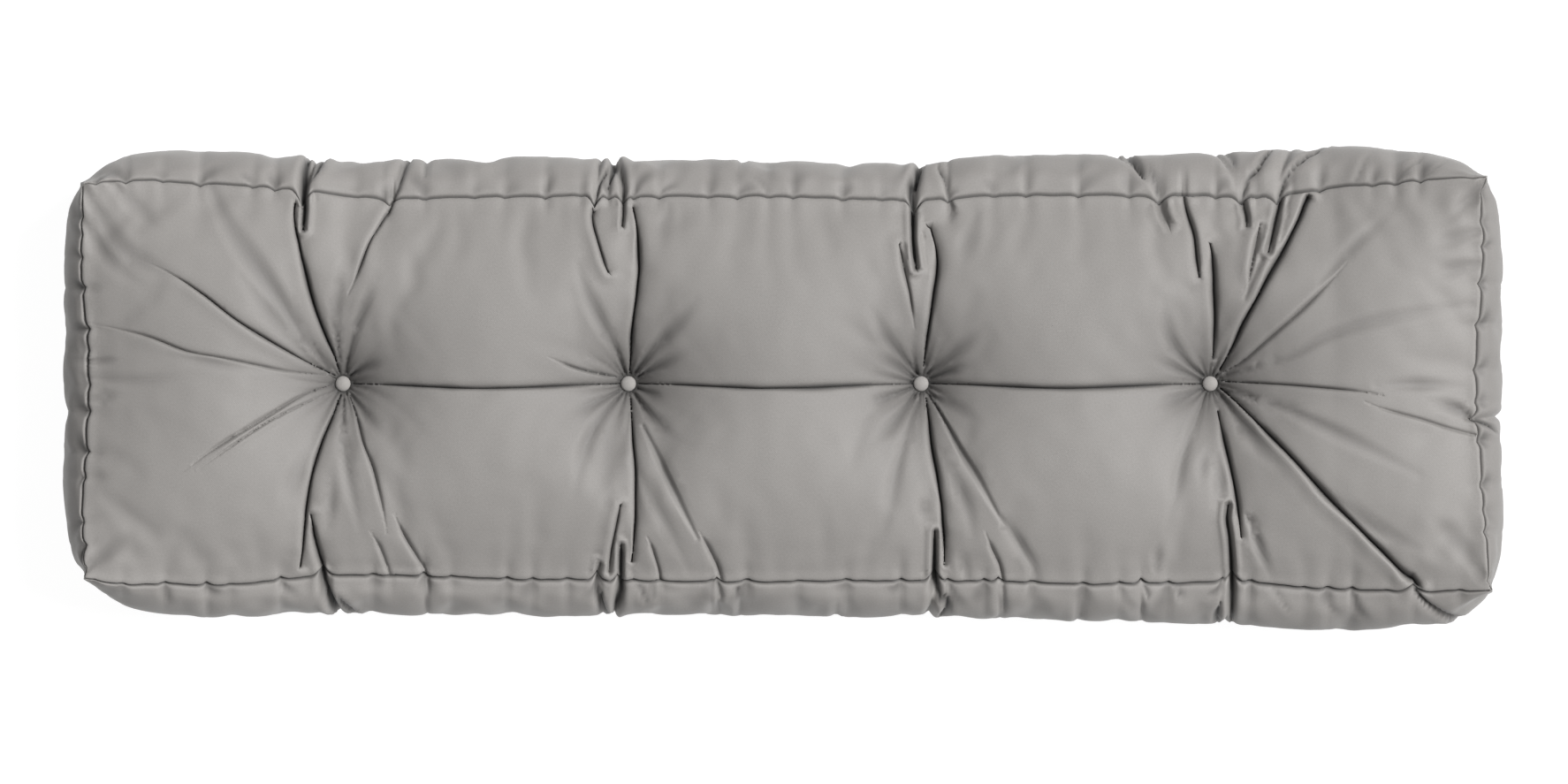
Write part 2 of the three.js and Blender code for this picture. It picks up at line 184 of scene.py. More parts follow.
# Shape of the filled pad, mm. These are the solid's own values.
BOXING_WIDTH = 116.0
MID_HEIGHT = 60.0
CROWN = 34.0
CROWN_REACH = 150.0
PUFF_DEPTH = 7.0
PUFF_REACH = 72.0
SEAT_HEIGHT = 84.0
SEAT_HALF = 6.0
TUFT_REACH = 20.0
TUFT_BROAD_REACH = 62.0
TUFT_BROAD_SHARE = 0.42
UNDER_EDGE_REACH = 52.0
UNDER_DIMPLE_DEPTH = 16.0
UNDER_DIMPLE_RADIUS = 62.0
CHORD_EASE = 400.0  # square mm over which the strip's height eases into its least
ROLL_POWER = 2.1
MERGE_POWER = 3.0
MIDLINE_SAG = 4.0
PRESSED = 2.5  # how much slimmer the strip starts than once its filling has pressed it out, mm


class Crease(NamedTuple):
    """A sharp fold, mm. Beside it on the left, looking along the path, the cloth stands up in a roll, and on
    the right it slopes in over the flank. start and end are the shares of its depth kept at the path's ends;
    a whole end is round, with the roll about it."""

    deep: float
    wide: float
    flank: float
    roll: float
    start: float
    end: float
    path: list


CREASES = [
    # The first button: its folds to the back seam and to the front seam
    Crease(13, 1.5, 9.4, 0.8, 0.8, 1.0,
           [(-370, 14), (-374, 28), (-380, 42), (-389, 66), (-397, 94), (-403, 120), (-406, 136),
            (-407, 147), (-406, 156)]),
    Crease(7, 1.1, 6.2, 1.1, 0.2, 1.0,
           [(-361, 79), (-357, 87), (-350, 105), (-344, 121), (-335, 137), (-327, 153), (-324, 162)]),
    Crease(11, 1.3, 7.3, 1.1, 1.0, 0.8,
           [(-402, -148), (-400, -133), (-398, -117), (-396, -98), (-393, -80), (-389, -62), (-383, -43),
            (-375, -23), (-369, -6)]),
    Crease(4.5, 1.6, 5.2, 0.6, 0.2, 0.9,
           [(-330, -119), (-331, -110), (-335, -89), (-341, -65), (-349, -45), (-355, -23), (-361, -6)]),
    Crease(3.5, 1.6, 5.2, 0.4, 0.8, 0.2, [(-327, -156), (-335, -133), (-342, -120)]),
    Crease(4.5, 1.7, 6.2, 0.5, 0.9, 0.2, [(-296, -158), (-304, -141), (-315, -122), (-323, -105)]),
    Crease(11, 1.8, 6.4, 1.8, 1.0, 1.0,
           [(-382, -160), (-384, -150), (-389, -125), (-391, -111), (-392, -105)]),
    # The left end: the fan of the first button
    Crease(8, 1.1, 9.4, 0.8, 0.9, 0.12,
           [(-374, 11), (-396, 22), (-426, 39), (-455, 57), (-481, 77), (-507, 94), (-533, 106)]),
    Crease(5.5, 1, 6.2, 0.6, 0.5, 0.1,
           [(-381, 11), (-411, 14), (-440, 20), (-470, 26), (-496, 31), (-522, 41), (-544, 47), (-577, 54)]),
    Crease(4.5, 1.2, 5.2, 1.1, 0.8, 0.1, [(-377, 3), (-400, -6), (-433, -26), (-470, -48), (-496, -67)]),
    Crease(3.5, 1, 3.1, 0, 0.6, 0.1, [(-375, -2), (-411, -19), (-433, -31), (-463, -51), (-488, -68)]),
    # The second button
    Crease(13, 1.5, 8.3, 1, 0.8, 1.0,
           [(-128, 11), (-127, 29), (-126, 48), (-123, 70), (-121, 88), (-120, 110), (-121, 129),
            (-123, 142), (-125, 152)]),
    Crease(5, 1, 4.2, 0.4, 0.8, 0.1, [(-135, 9), (-152, 12), (-173, 17), (-193, 25)]),
    Crease(8, 1.5, 8.8, 1.9, 1.0, 0.9,
           [(-146, 96), (-149, 103), (-153, 116), (-157, 131), (-159, 144), (-158, 153)]),
    Crease(12, 1.3, 7.3, 1.1, 1.0, 0.8,
           [(-126, -144), (-124, -127), (-123, -110), (-123, -89), (-123, -67), (-125, -45), (-126, -28),
            (-127, -9)]),
    Crease(4.5, 1.8, 6.2, 0.6, 1.0, 0.2, [(-102, -160), (-104, -148), (-108, -133), (-112, -123)]),
    Crease(4.5, 1.8, 6.2, 0.4, 1.0, 0.2, [(-52, -158), (-55, -148), (-62, -132), (-69, -119)]),
    Crease(7, 1.8, 7.2, 1.8, 0.8, 1.0, [(-145, -152), (-143, -133), (-140, -116), (-136, -96)]),
    # The third button
    Crease(13, 1.5, 9.4, 1.1, 0.8, 1.0,
           [(117, 20), (120, 45), (123, 65), (126, 85), (128, 103), (127, 118), (123, 133)]),
    Crease(6, 1.5, 5.2, 1, 0.1, 1.0, [(109, 50), (105, 77), (100, 99), (96, 119)]),
    Crease(13, 1.7, 9.4, 1.1, 1.0, 0.8,
           [(134, -147), (134, -130), (133, -111), (131, -89), (127, -67), (123, -45), (121, -24),
            (119, -8)]),
    Crease(4.5, 1.8, 6.2, 0.4, 1.0, 0.2, [(183, -161), (180, -148), (174, -133), (169, -121)]),
    # The fourth button
    Crease(13, 2, 9.4, 1.1, 0.8, 1.0,
           [(364, 16), (374, 35), (383, 55), (395, 76), (406, 97), (418, 118), (429, 140), (434, 153),
            (437, 159)]),
    Crease(11, 1.9, 8.6, 1.6, 0.6, 1.0, [(358, 25), (359, 59), (358, 88), (357, 109), (355, 120)]),
    Crease(12, 1.8, 7.3, 1, 1.0, 0.6,
           [(381, -123), (379, -102), (376, -83), (371, -61), (366, -39), (362, -19)]),
    Crease(9, 2, 8.8, 1.8, 0.6, 1.0, [(333, 164), (337, 144), (342, 127), (344, 109), (346, 92)]),
    Crease(6, 1.8, 7.2, 1.8, 0.1, 1.0, [(386, 82), (391, 107), (397, 136)]),
    # The right end: the fan of the fourth button
    Crease(5, 1.8, 6.2, 0.4, 0.8, 0.1, [(361, 11), (380, 21), (402, 40), (432, 66), (454, 88), (468, 103)]),
    Crease(7, 1.1, 6.2, 0.7, 0.3, 0.8, [(498, -6), (483, -3), (454, 0), (417, 3), (380, 5), (366, 6)]),
    Crease(4, 1.3, 6.2, 0.3, 0.8, 0.2, [(576, -39), (557, -34), (528, -25), (498, -17), (483, -11)]),
    Crease(12, 2.4, 8.3, 1.5, 1.0, 0.8,
           [(527, -165), (505, -142), (483, -120), (454, -91), (424, -58), (402, -36), (381, -15), (365, 0)]),
]


class Pocket(NamedTuple):
    """A pocket, mm: it runs from a seam into the face and ends in a round fold, with a roll about it."""

    deep: float
    wide: float
    roll: float
    path: list


POCKETS = [
    Pocket(10, 2.3, 2.8, [(-398, 168), (-398, 151), (-399, 132)]),
    Pocket(7, 1.7, 1.3, [(-133, 162), (-133, 147), (-134, 135)]),
    Pocket(10, 2.4, 2.1, [(-135, -160), (-135, -144), (-135, -130)]),
    Pocket(5, 2.2, 2.1, [(-154, -157), (-152, -147)]),
    Pocket(11, 2.4, 3.1, [(108, 155), (108, 140), (108, 118), (110, 99)]),
    Pocket(11, 2.3, 2.8, [(126, -163), (126, -148), (126, -133), (126, -119)]),
    Pocket(5, 4.0, 2.1, [(314, 159), (317, 145), (321, 136)]),
    Pocket(7, 2.6, 2.2, [(383, 158), (386, 143), (386, 135)]),
    Pocket(9, 2.8, 2.5, [(414, 158), (410, 140), (407, 125), (404, 113)]),
    Pocket(12, 2.8, 2.8, [(374, -163), (373, -141), (371, -122), (369, -108), (370, -96)]),
]


class Hollow(NamedTuple):
    """A soft hollow, mm. start and end are the shares of its depth kept at the path's ends."""

    deep: float
    half: float
    start: float
    end: float
    path: list


HOLLOWS = [
    # The first button
    Hollow(3.5, 5, 0.2, 0.9, [(-368, 103), (-370, 81), (-372, 51), (-369, 23)]),
    Hollow(4.5, 4.5, 0.9, 0.2, [(-364, 14), (-361, 29), (-355, 51), (-346, 74), (-337, 99)]),
    Hollow(4, 5, 1, 0.1, [(-361, 11), (-348, 18), (-330, 23)]),
    Hollow(3, 5, 0.9, 0.2, [(-366, -9), (-366, -37), (-362, -67), (-356, -96), (-350, -122)]),
    Hollow(3.5, 5, 1, 0.1, [(-360, -5), (-348, -21), (-332, -39)]),
    Hollow(3, 4.5, 0.2, 0.2, [(-375, -67), (-375, -89), (-379, -121)]),
    Hollow(2, 7, 0.3, 0.1, [(-392, -45), (-407, -74), (-418, -104)]),
    # The left end
    Hollow(3, 8, 0.2, 0.8, [(-496, 88), (-533, 105), (-551, 118), (-566, 140), (-582, 167)]),
    Hollow(3, 8, 0.8, 0.1, [(-582, 139), (-562, 110), (-533, 85)]),
    Hollow(2.5, 4, 0.2, 0.2, [(-433, 14), (-463, 19), (-488, 23), (-511, 28)]),
    Hollow(3.5, 9, 0.8, 0.5, [(-378, 16), (-392, 35), (-411, 62), (-433, 94), (-461, 134), (-477, 168)]),
    Hollow(2.5, 8, 0.5, 0.2, [(-400, 31), (-429, 66), (-451, 94)]),
    Hollow(3.5, 7, 1, 0.1, [(-579, -149), (-562, -135), (-542, -121)]),
    Hollow(2.5, 3.5, 1, 0.1, [(-580, 22), (-566, 23), (-550, 24)]),
    Hollow(2, 5, 1, 0.1, [(-580, 9), (-536, 6), (-488, 11)]),
    Hollow(2.5, 4.5, 1, 0.1, [(-580, -8), (-566, -7), (-550, -5)]),
    Hollow(2.5, 6, 0.8, 0.1, [(-559, 171), (-540, 153), (-518, 131)]),
    # The second button
    Hollow(3.5, 6, 0.2, 0.9, [(-171, 103), (-165, 82), (-154, 59), (-140, 33), (-132, 14)]),
    Hollow(4, 7, 1, 0.1, [(-123, 14), (-110, 31), (-93, 49), (-71, 74)]),
    Hollow(2, 7, 0.8, 0.1, [(-95, 151), (-104, 110)]),
    Hollow(4, 5, 1, 0.1, [(-121, 10), (-108, 17), (-82, 28)]),
    Hollow(2.5, 6, 0.3, 0.3, [(-126, -59), (-109, -89), (-93, -119), (-78, -152)]),
    Hollow(4.5, 3.4, 0.3, 0.4, [(-71, -124), (-82, -102), (-93, -79), (-104, -57), (-117, -31)]),
    Hollow(4, 5, 1, 0.1, [(-123, -5), (-110, -23), (-92, -39)]),
    Hollow(3, 4, 1, 0.1, [(-121, 0), (-99, -9)]),
    Hollow(3, 6, 1, 0.1, [(-135, -5), (-152, -24), (-166, -52), (-174, -89)]),
    Hollow(3, 5, 1, 0.1, [(-137, -2), (-161, -14), (-182, -20)]),
    Hollow(2, 8, 0.3, 0.1, [(-137, -23), (-145, -59), (-149, -96)]),
    # The third button
    Hollow(4, 6, 0.9, 0.1, [(111, 13), (99, 27), (84, 45), (73, 66)]),
    Hollow(3, 5, 1, 0.1, [(108, 9), (92, 20), (73, 29)]),
    Hollow(4.5, 4.5, 1, 0.1, [(121, 8), (136, 14), (156, 20)]),
    Hollow(3.5, 7, 0.9, 0.1, [(120, 13), (140, 28), (166, 51)]),
    Hollow(4.5, 4, 1, 0.1, [(139, 156), (140, 147), (138, 137)]),
    Hollow(2.5, 8, 0.5, 0.1, [(161, 144), (147, 99)]),
    Hollow(5, 3.4, 0.3, 1, [(182, -110), (174, -96), (162, -74), (147, -50), (133, -24), (122, -6)]),
    Hollow(4, 4, 0.4, 0.3, [(212, -161), (206, -144), (195, -126), (181, -106)]),
    Hollow(3, 6, 0.4, 0.2, [(132, -52), (147, -82), (155, -104), (158, -127)]),
    Hollow(2.5, 5, 0.2, 0.8, [(147, -132), (153, -157)]),
    Hollow(3.5, 5, 0.2, 0.2, [(117, -86), (116, -113)]),
    Hollow(3.5, 6, 1, 0.1, [(109, -5), (93, -28), (73, -46)]),
    Hollow(2.5, 6, 0.8, 0.1, [(112, -11), (96, -59), (88, -96), (81, -133)]),
    Hollow(3.5, 5, 1, 0.1, [(105, 0), (84, -8), (64, -15)]),
    Hollow(3, 6, 1, 0.1, [(122, -5), (140, -14), (162, -26)]),
    # The fourth button and the right end
    Hollow(4, 6, 1, 0.1, [(350, 11), (335, 23), (321, 44), (315, 74)]),
    Hollow(3, 5, 1, 0.1, [(349, 7), (328, 16), (306, 25)]),
    Hollow(3.5, 5, 0.2, 0.2, [(361, -54), (363, -78), (361, -105)]),
    Hollow(2.5, 5, 0.9, 0.2, [(352, -6), (338, -39), (327, -76), (318, -119)]),
    Hollow(2, 4, 0.3, 0.2, [(355, -48), (349, -61), (347, -80)]),
    Hollow(3, 4, 0.2, 0.8, [(312, -127), (310, -150)]),
    Hollow(3, 6, 1, 0.1, [(349, 0), (328, -9), (306, -15)]),
    Hollow(4, 4, 0.1, 1, [(409, -163), (400, -141), (393, -122), (387, -106)]),
    Hollow(3.5, 7, 0.9, 0.1, [(365, -6), (380, -28), (402, -54), (418, -68)]),
    Hollow(2.2, 5, 0.3, 0.1, [(446, 88), (468, 112), (488, 131), (508, 150)]),
    Hollow(2.6, 6, 1, 0.4, [(369, 11), (417, 25), (454, 44), (498, 57), (572, 70)]),
    Hollow(3.5, 5, 0.3, 0.2, [(492, 2), (528, 3), (565, 2)]),
    Hollow(3, 3.5, 0.3, 0.3, [(426, 166), (409, 131), (395, 101), (384, 74)]),
    Hollow(4.5, 5, 0.2, 1, [(536, -11), (561, -17), (575, -26)]),
    Hollow(3.2, 6, 0.9, 0.2, [(369, -2), (409, -14), (454, -34), (498, -56), (528, -71)]),
    Hollow(3.5, 6, 1, 0.1, [(584, 173), (572, 158), (553, 140)]),
    Hollow(2.5, 7, 0.9, 0.1, [(578, 131), (557, 125), (533, 115)]),
    Hollow(2.5, 7, 0.9, 0.1, [(578, 103), (557, 99), (535, 90)]),
    Hollow(2.5, 8, 0.8, 0.1, [(581, -156), (565, -133), (535, -104)]),
    Hollow(3, 7, 0.3, 0.2, [(454, -89), (498, -119), (528, -133)]),
]


class MidFold(NamedTuple):
    """A stretch of the long fold between two buttons, mm."""

    deep: float
    first: float
    last: float


MID_FOLDS = [
    MidFold(12, -360, -135),
    MidFold(12, -122, 109),
    MidFold(12, 121, 350),
]


class SideTuck(NamedTuple):
    """A tuck that draws a side's seam in, mm: where it meets the seam and the outline, how far each comes in
    there, and half its width."""

    side: str
    seam_at: float
    out_at: float
    seam_dip: float
    out_dip: float
    half: float


SIDE_TUCKS = [
    SideTuck("back", -400, -389, 16.2, 6, 12),
    SideTuck("back", -328, -316, 6.8, 3, 12),
    SideTuck("back", -157, -152, 10.8, 3, 9),
    SideTuck("back", -133, -141, 8.1, 6, 9),
    SideTuck("back", 109, 114, 13.5, 6, 11),
    SideTuck("back", 137, 138, 4.1, 1, 8),
    SideTuck("back", 313, 278, 8.1, 6, 14),
    SideTuck("back", 381, 361, 8.1, 4, 11),
    SideTuck("back", 411, 424, 8.1, 3, 12),
    SideTuck("front", -383, -370, 10.8, 5, 12),
    SideTuck("front", -299, -297, 4.1, 1, 8),
    SideTuck("front", -155, -150, 9.5, 2, 9),
    SideTuck("front", -138, -141, 6.8, 5, 8),
    SideTuck("front", -55, -52, 4.1, 1, 8),
    SideTuck("front", 126, 122, 12.2, 6, 11),
    SideTuck("front", 179, 181, 4.1, 1, 8),
    SideTuck("front", 298, 300, 5.4, 1, 8),
    SideTuck("front", 374, 369, 10.8, 5, 11),
    SideTuck("front", 524, 566, 6.8, 4, 15),
    SideTuck("right", -25, -23, 6.8, 4, 10),
]


class StripFold(NamedTuple):
    """A crease of the boxing strip, mm. Its path is (place along the side, distance down the strip)."""

    side: str
    deep: float
    wide: float
    flank: float
    roll: float
    path: list


STRIP_FOLDS = [
    StripFold("back", 10, 3.4, 8, 1.3, [(-399, 0), (-399, 17), (-398, 40), (-396, 66)]),
    StripFold("back", 7, 2.7, 6, 1, [(-382, 62), (-385, 44), (-388, 26), (-391, 16)]),
    StripFold("back", 6, 2.7, 6, 1.1, [(-324, 0), (-319, 17), (-314, 40), (-311, 66)]),
    StripFold("back", 4, 2.7, 4, 0.8, [(-331, 0), (-332, 13)]),
    StripFold("back", 4, 3, 9, 0.4, [(-297, 22), (-297, 62), (-299, 84)]),
    StripFold("back", 10, 3.4, 8, 1.3, [(-141, 72), (-141, 46), (-143, 22), (-145, 12)]),
    StripFold("back", 7, 2.7, 6, 1.3, [(-156, 0), (-154, 12), (-149, 26), (-146, 36)]),
    StripFold("back", 7, 2.7, 7, 1.1, [(-133, 0), (-133, 16), (-136, 40)]),
    StripFold("back", 4, 3, 9, 0.4, [(-34, 26), (-34, 64), (-32, 84)]),
    StripFold("back", 10, 3.4, 8, 1.3, [(108, 0), (107, 10), (107, 22), (112, 32), (115, 64)]),
    StripFold("back", 6, 2.7, 8, 1.1, [(138, 0), (136, 16), (129, 36)]),
    StripFold("back", 6, 2.7, 7, 1.1, [(314, 0), (311, 12), (306, 24)]),
    StripFold("back", 7, 3.2, 8, 1, [(300, 18), (297, 30), (290, 52), (286, 70)]),
    StripFold("back", 4, 3, 9, 0.6, [(377, 26), (374, 44), (366, 70)]),
    StripFold("back", 7, 2.7, 7, 1.3, [(381, 0), (389, 14), (397, 26), (408, 54)]),
    StripFold("back", 7, 2.7, 7, 1.3, [(412, 0), (418, 12), (431, 26), (454, 56)]),
    StripFold("back", 3, 2.7, 7, 0.6, [(476, 0), (482, 16), (488, 34)]),
    StripFold("back", 2.6, 3, 6, 0.7, [(509, 0), (524, 20), (538, 40)]),
    StripFold("back", 2.6, 3, 6, 0.7, [(533, 0), (542, 14), (552, 30)]),
    StripFold("front", 10, 3.4, 8, 1.3, [(-384, 0), (-381, 14), (-377, 30), (-372, 62)]),
    StripFold("front", 8, 3, 7, 1.3, [(-355, 60), (-364, 36), (-371, 18)]),
    StripFold("front", 9, 2.7, 7, 1.3, [(-141, 62), (-148, 40), (-151, 28), (-150, 15)]),
    StripFold("front", 10, 3.2, 8, 1.1, [(-135, 0), (-136, 18), (-140, 44)]),
    StripFold("front", 6, 2.7, 5, 1, [(-155, 0), (-156, 16), (-153, 28)]),
    StripFold("front", 4, 2.7, 7, 0.8, [(-109, 0), (-108, 20)]),
    StripFold("front", 4, 2.7, 9, 0.7, [(-119, 4), (-112, 26)]),
    StripFold("front", 5, 2.7, 8, 0.8, [(-55, 0), (-51, 22)]),
    StripFold("front", 5, 3.4, 9, 0.7, [(-38, 6), (-36, 30), (-37, 58)]),
    StripFold("front", 3, 3, 10, 0.4, [(44, 20), (44, 64)]),
    StripFold("front", 10, 3.2, 8, 1.1, [(126, 0), (128, 12), (133, 24)]),
    StripFold("front", 10, 3.4, 8, 1.1, [(133, 13), (137, 28), (131, 56)]),
    StripFold("front", 3, 3, 8, 0.8, [(182, 0), (184, 24), (183, 40)]),
    StripFold("front", 4, 3, 10, 0.6, [(247, 4), (247, 62)]),
    StripFold("front", 4, 2.7, 6, 0.7, [(300, 0), (305, 14)]),
    StripFold("front", 4, 2.7, 6, 0.7, [(328, 0), (333, 16)]),
    StripFold("front", 10, 3.8, 9, 1.3, [(374, 0), (374, 20), (375, 64)]),
    StripFold("front", 8, 3, 6, 1.3, [(364, 62), (362, 34), (365, 18)]),
    StripFold("front", 2.6, 3, 9, 0.7, [(408, 0), (424, 24)]),
    StripFold("front", 2.6, 3, 9, 0.7, [(449, 4), (462, 26)]),
    StripFold("front", 9, 2.7, 8, 1.3, [(525, 0), (535, 15), (550, 32), (566, 62)]),
    StripFold("right", 7, 2.7, 7, 1.3, [(-27, 0), (-29, 12), (-38, 38)]),
]

# Mesh spacing, mm
EDGE_STEP = 3.1  # along the seams
EDGE_SAMPLES = 2000  # places along a side between which the seam's points are set
TUCK_CROWDING = 1.5  # how much closer the mesh is at a tuck
TUCK_CROWDING_REACH = 9.0  # to either side of the tuck
SEAM_ROWS = [1.0, 2.1, 3.5, 5.4, 8.0]  # rows beside the seams
SEAM_CLEAR = 0.8  # no row comes nearer to a seam
FOLD_STEP = 2.2  # along the folds
FOLD_ROWS = [0.9, 1.9, 3.2, 5.0, 7.4, 10.5]  # rows beside the folds
ROW_CELL = 0.85  # of the rows' points, one is kept in each cell of this size
NARROW = 4.0  # a hollow whose half width is under this has rows of its own
FIELD_STEP = 3.6  # between the folds
CLEAR = 2.6  # the open field keeps this far from the rows
TIE_RINGS = [0, 2, 4, 5.6, 7.2, 8.6, 10.2, 12, 14, 16.4, 19.2, 22.4, 26, 30, 34.5, 39.5]  # round the buttons
TIE_POINTS = 72  # in each of these rings
STRIP_RINGS = [0, 1.0, 2.2, 3.8, 6.0, 8.8, 12, 15.6, 19.6, 24, 28.8, 34, 39.4, 45, 51, 57, 63.4, 70.2, 77.4,
               85, 92, 98.4, 104, 108.6, 112, 114.4, 116]  # down the strip, from seam to seam
UNDER_STEP = 12.0  # over the underside
UNDER_ROWS = [3.0, 7.0, 12.0, 19.0, 28.0, 38.0]  # rows beside the underside's seam
UNDER_CLEAR = 2.4  # no row comes nearer to that seam
UNDER_CELL = 2.2  # of these rows' points, one is kept in each cell of this size
UNDER_FIELD_CLEAR = 42.0  # the underside's open field keeps this far from the seam


def clamp01(value):
    """The value, kept between 0 and 1."""
    return np.clip(value, 0.0, 1.0)


def mix(a, b, f):
    """a at f = 0, b at f = 1."""
    return a + (b - a) * f


def roll(q):
    """A soft cusp: 1 at q = 0, level at q = 1 and beyond."""
    return clamp01(1 - q) ** ROLL_POWER


def ease(f):
    """0 to 1 with level ends."""
    f = clamp01(f)
    return f * f * (3 - 2 * f)


def along(rows, at, column):
    """A smooth curve through one column of a table, read at places along it."""
    places = np.array([row.at for row in rows], float)
    values = np.array([getattr(row, column) for row in rows], float)
    last = len(rows) - 1
    before = np.maximum(np.arange(last + 1) - 1, 0)
    after = np.minimum(np.arange(last + 1) + 1, last)
    slopes = (values[after] - values[before]) / (places[after] - places[before])
    i = np.clip(np.searchsorted(places, at) - 1, 0, last - 1)
    span = places[i + 1] - places[i]
    f = clamp01((at - places[i]) / span)
    g = 1 - f
    ends = values[i] * g * g * (1 + 2 * f) + values[i + 1] * f * f * (1 + 2 * g)
    return ends + span * f * g * (slopes[i] * g - slopes[i + 1] * f)


def chord(bulge):
    """The height that the boxing strip keeps once it bulges out by that much."""
    least = (BOXING_WIDTH / 4) ** 2
    over = BOXING_WIDTH**2 - (32 / 3) * bulge**2 - least
    slack = least + (over + np.sqrt(over**2 + CHORD_EASE**2)) / 2
    return (BOXING_WIDTH + np.sqrt(slack)) / 2


def bulge_at(side, at):
    """How far a side's strip stands out beyond its seam."""
    return np.abs(along(side.rows, at, "out") - along(side.rows, at, "seam"))


def midline(x):
    """y of the long fold, which sags a little between the buttons."""
    first, last = BUTTONS[0].x, BUTTONS[-1].x
    phase = (np.clip(x, first, last) - first) / (last - first) * len(BUTTONS) * math.pi
    return BUTTONS[0].y - MIDLINE_SAG * np.sin(phase * 3 / 4) ** 2


def line_x(row, v):
    """x of a crosswise mesh line at height v in plan, -1 at the front seam and 1 at the back seam."""
    back = v > 0
    half = np.where(back, row.back_half, row.front_half)
    seam = np.where(back, row.back, row.front)
    f = np.abs(v)
    return row.button * (1 - f) * (1 - 2 * f) + half * 4 * f * (1 - f) + seam * f * (2 * f - 1)


def height_share(x, y):
    """v of plan points: 0 on the long fold, -1 at the front seam and 1 at the back seam."""
    middle = midline(x)
    back = y > middle
    seam = np.where(back, along(BACK_SIDE, x, "seam"), along(FRONT_SIDE, x, "seam"))
    return np.where(back, 1, -1) * np.abs((y - middle) / (seam - middle))


def place_on(side, x, y):
    """The place along a side that belongs to plan points."""
    return x if side.lengthwise else y


def half_chord(side, x, y):
    """Half the height of a side's strip beside plan points."""
    return chord(bulge_at(side, place_on(side, x, y))) / 2


def to_seam(side, x, y):
    """Distance from face points to a side's seam."""
    inward = y if side.lengthwise else x
    return (along(side.rows, place_on(side, x, y), "seam") - inward) * side.sign


def seam_distances(x, y):
    """Distance from face points to the seam of each side, by side."""
    return {name: to_seam(side, x, y) for name, side in SIDES.items()}


def seam_lift(x, y, reach):
    """Height of the seams over the middle of the strip, blended across the face."""
    across = clamp01(reach["front"] / (reach["front"] + reach["back"]))
    length = clamp01(reach["left"] / (reach["left"] + reach["right"]))
    halves = {name: half_chord(side, x, y) for name, side in SIDES.items()}
    long_sides = mix(halves["front"], halves["back"], across)
    ends = mix(halves["left"], halves["right"], length)
    return long_sides + ends - BOXING_WIDTH / 2


PATH_STEPS = 4  # short lines between two points of a path
END_SHARE = 0.001  # a point this near a path's end may lie past it, as a share of the path


def smooth_path(path):
    """The path's points with a smooth curve's points between them."""
    points = np.array(path, float)
    if len(points) < 3:
        return points
    padded = np.vstack([2 * points[0] - points[1], points, 2 * points[-1] - points[-2]])
    curve = []
    for i in range(1, len(padded) - 2):
        a, b, c, d = padded[i - 1 : i + 3]
        for f in np.arange(PATH_STEPS) / PATH_STEPS:
            curve.append(b + 0.5 * f * (c - a + f * (2 * a - 5 * b + 4 * c - d + f * (3 * (b - c) + d - a))))
    return np.vstack([*curve, points[-1]])


def nearest(path, x, y):
    """Signed distance to a path, positive on its right, the share of the path passed there, and how far past
    an end of the path a point lies."""
    curve = smooth_path(path)
    steps = np.diff(curve, axis=0)
    lengths = np.hypot(steps[:, 0], steps[:, 1])
    total = lengths.sum()
    best = np.full(len(x), np.inf)
    signed = np.zeros(len(x))
    share = np.zeros(len(x))
    passed = 0.0
    for (ax, ay), (sx, sy), length in zip(curve[:-1], steps, lengths):
        dx, dy = x - ax, y - ay
        f = clamp01((dx * sx + dy * sy) / length**2)
        gap = np.hypot(dx - f * sx, dy - f * sy)
        closer = gap < best
        best = np.where(closer, gap, best)
        signed = np.where(closer, np.where(dy * sx - dx * sy > 0, -gap, gap), signed)
        share = np.where(closer, (passed + f * length) / total, share)
        passed += length
    ahead = steps[-1] / lengths[-1]
    past = np.maximum((x - curve[-1, 0]) * ahead[0] + (y - curve[-1, 1]) * ahead[1], 0)
    back = -steps[0] / lengths[0]
    short = np.maximum((x - curve[0, 0]) * back[0] + (y - curve[0, 1]) * back[1], 0)
    return signed, share, np.where(share > 1 - END_SHARE, past, np.where(share < END_SHARE, short, 0))


# Sections and ends of the folds
TAPER = 0.35  # the share of a path over which a crease fades to an end
FADED_WIDTH = 0.5  # a slit's width where its depth has faded, as a share
TIP = 0.25  # the share of a path over which a slit comes to a point at an end that lies clear of the seam
TIP_CLEAR = 9.0  # mm
TIP_WIDTH = 0.2
SLIT_SHARE = 0.6  # the slit's part of a fold's depth; its flank or trough has the rest
SLIT_REACH = 1.6  # how far a slit reaches on either side, in its own widths
SLIT_POWER = 1.2
UNEVEN = 0.55  # how much a slit's width varies
UNEVEN_LENGTH = 26.0  # over which it varies, mm
UNEVEN_PLACES = 33
UNEVEN_SEED = 2.5
ROLL_HALF = 4.0  # mm
ROLL_AWAY = 0.9  # from a slit to its roll's crest, in the roll's half widths
ROLL_REACH = 4  # how far a roll is felt, in its half widths
ROUND_END = 2.0  # a roll goes round an end within this distance beyond the slit's width, mm
HEM_SHARE = 0.2  # depth of the faint line outside a roll, as a share of the roll's height
HEM_AWAY = 2.1  # from a roll's crest to that line, in the roll's half widths
POCKET_ROLL_HALF = 2.2  # mm
POCKET_ROLL_RISE = 0.25  # the share of its path over which a pocket's roll rises from the seam
POCKET_SLIT = 0.6  # a pocket's slit, as a share of its width
TROUGH_REACH = 1.6  # how far a pocket's trough reaches on either side, in its own widths
TROUGH_POWER = 1.5
HOLLOW_TAPER = 0.6  # the share of a path over which a hollow fades to an end
HOLLOW_REACH = 1.5  # how far a hollow reaches on either side, in its half widths


def slit(distance, wide):
    """Section of a slit: 1 on its line, 0 beyond its edges."""
    return clamp01(1 - distance / (SLIT_REACH * wide)) ** SLIT_POWER


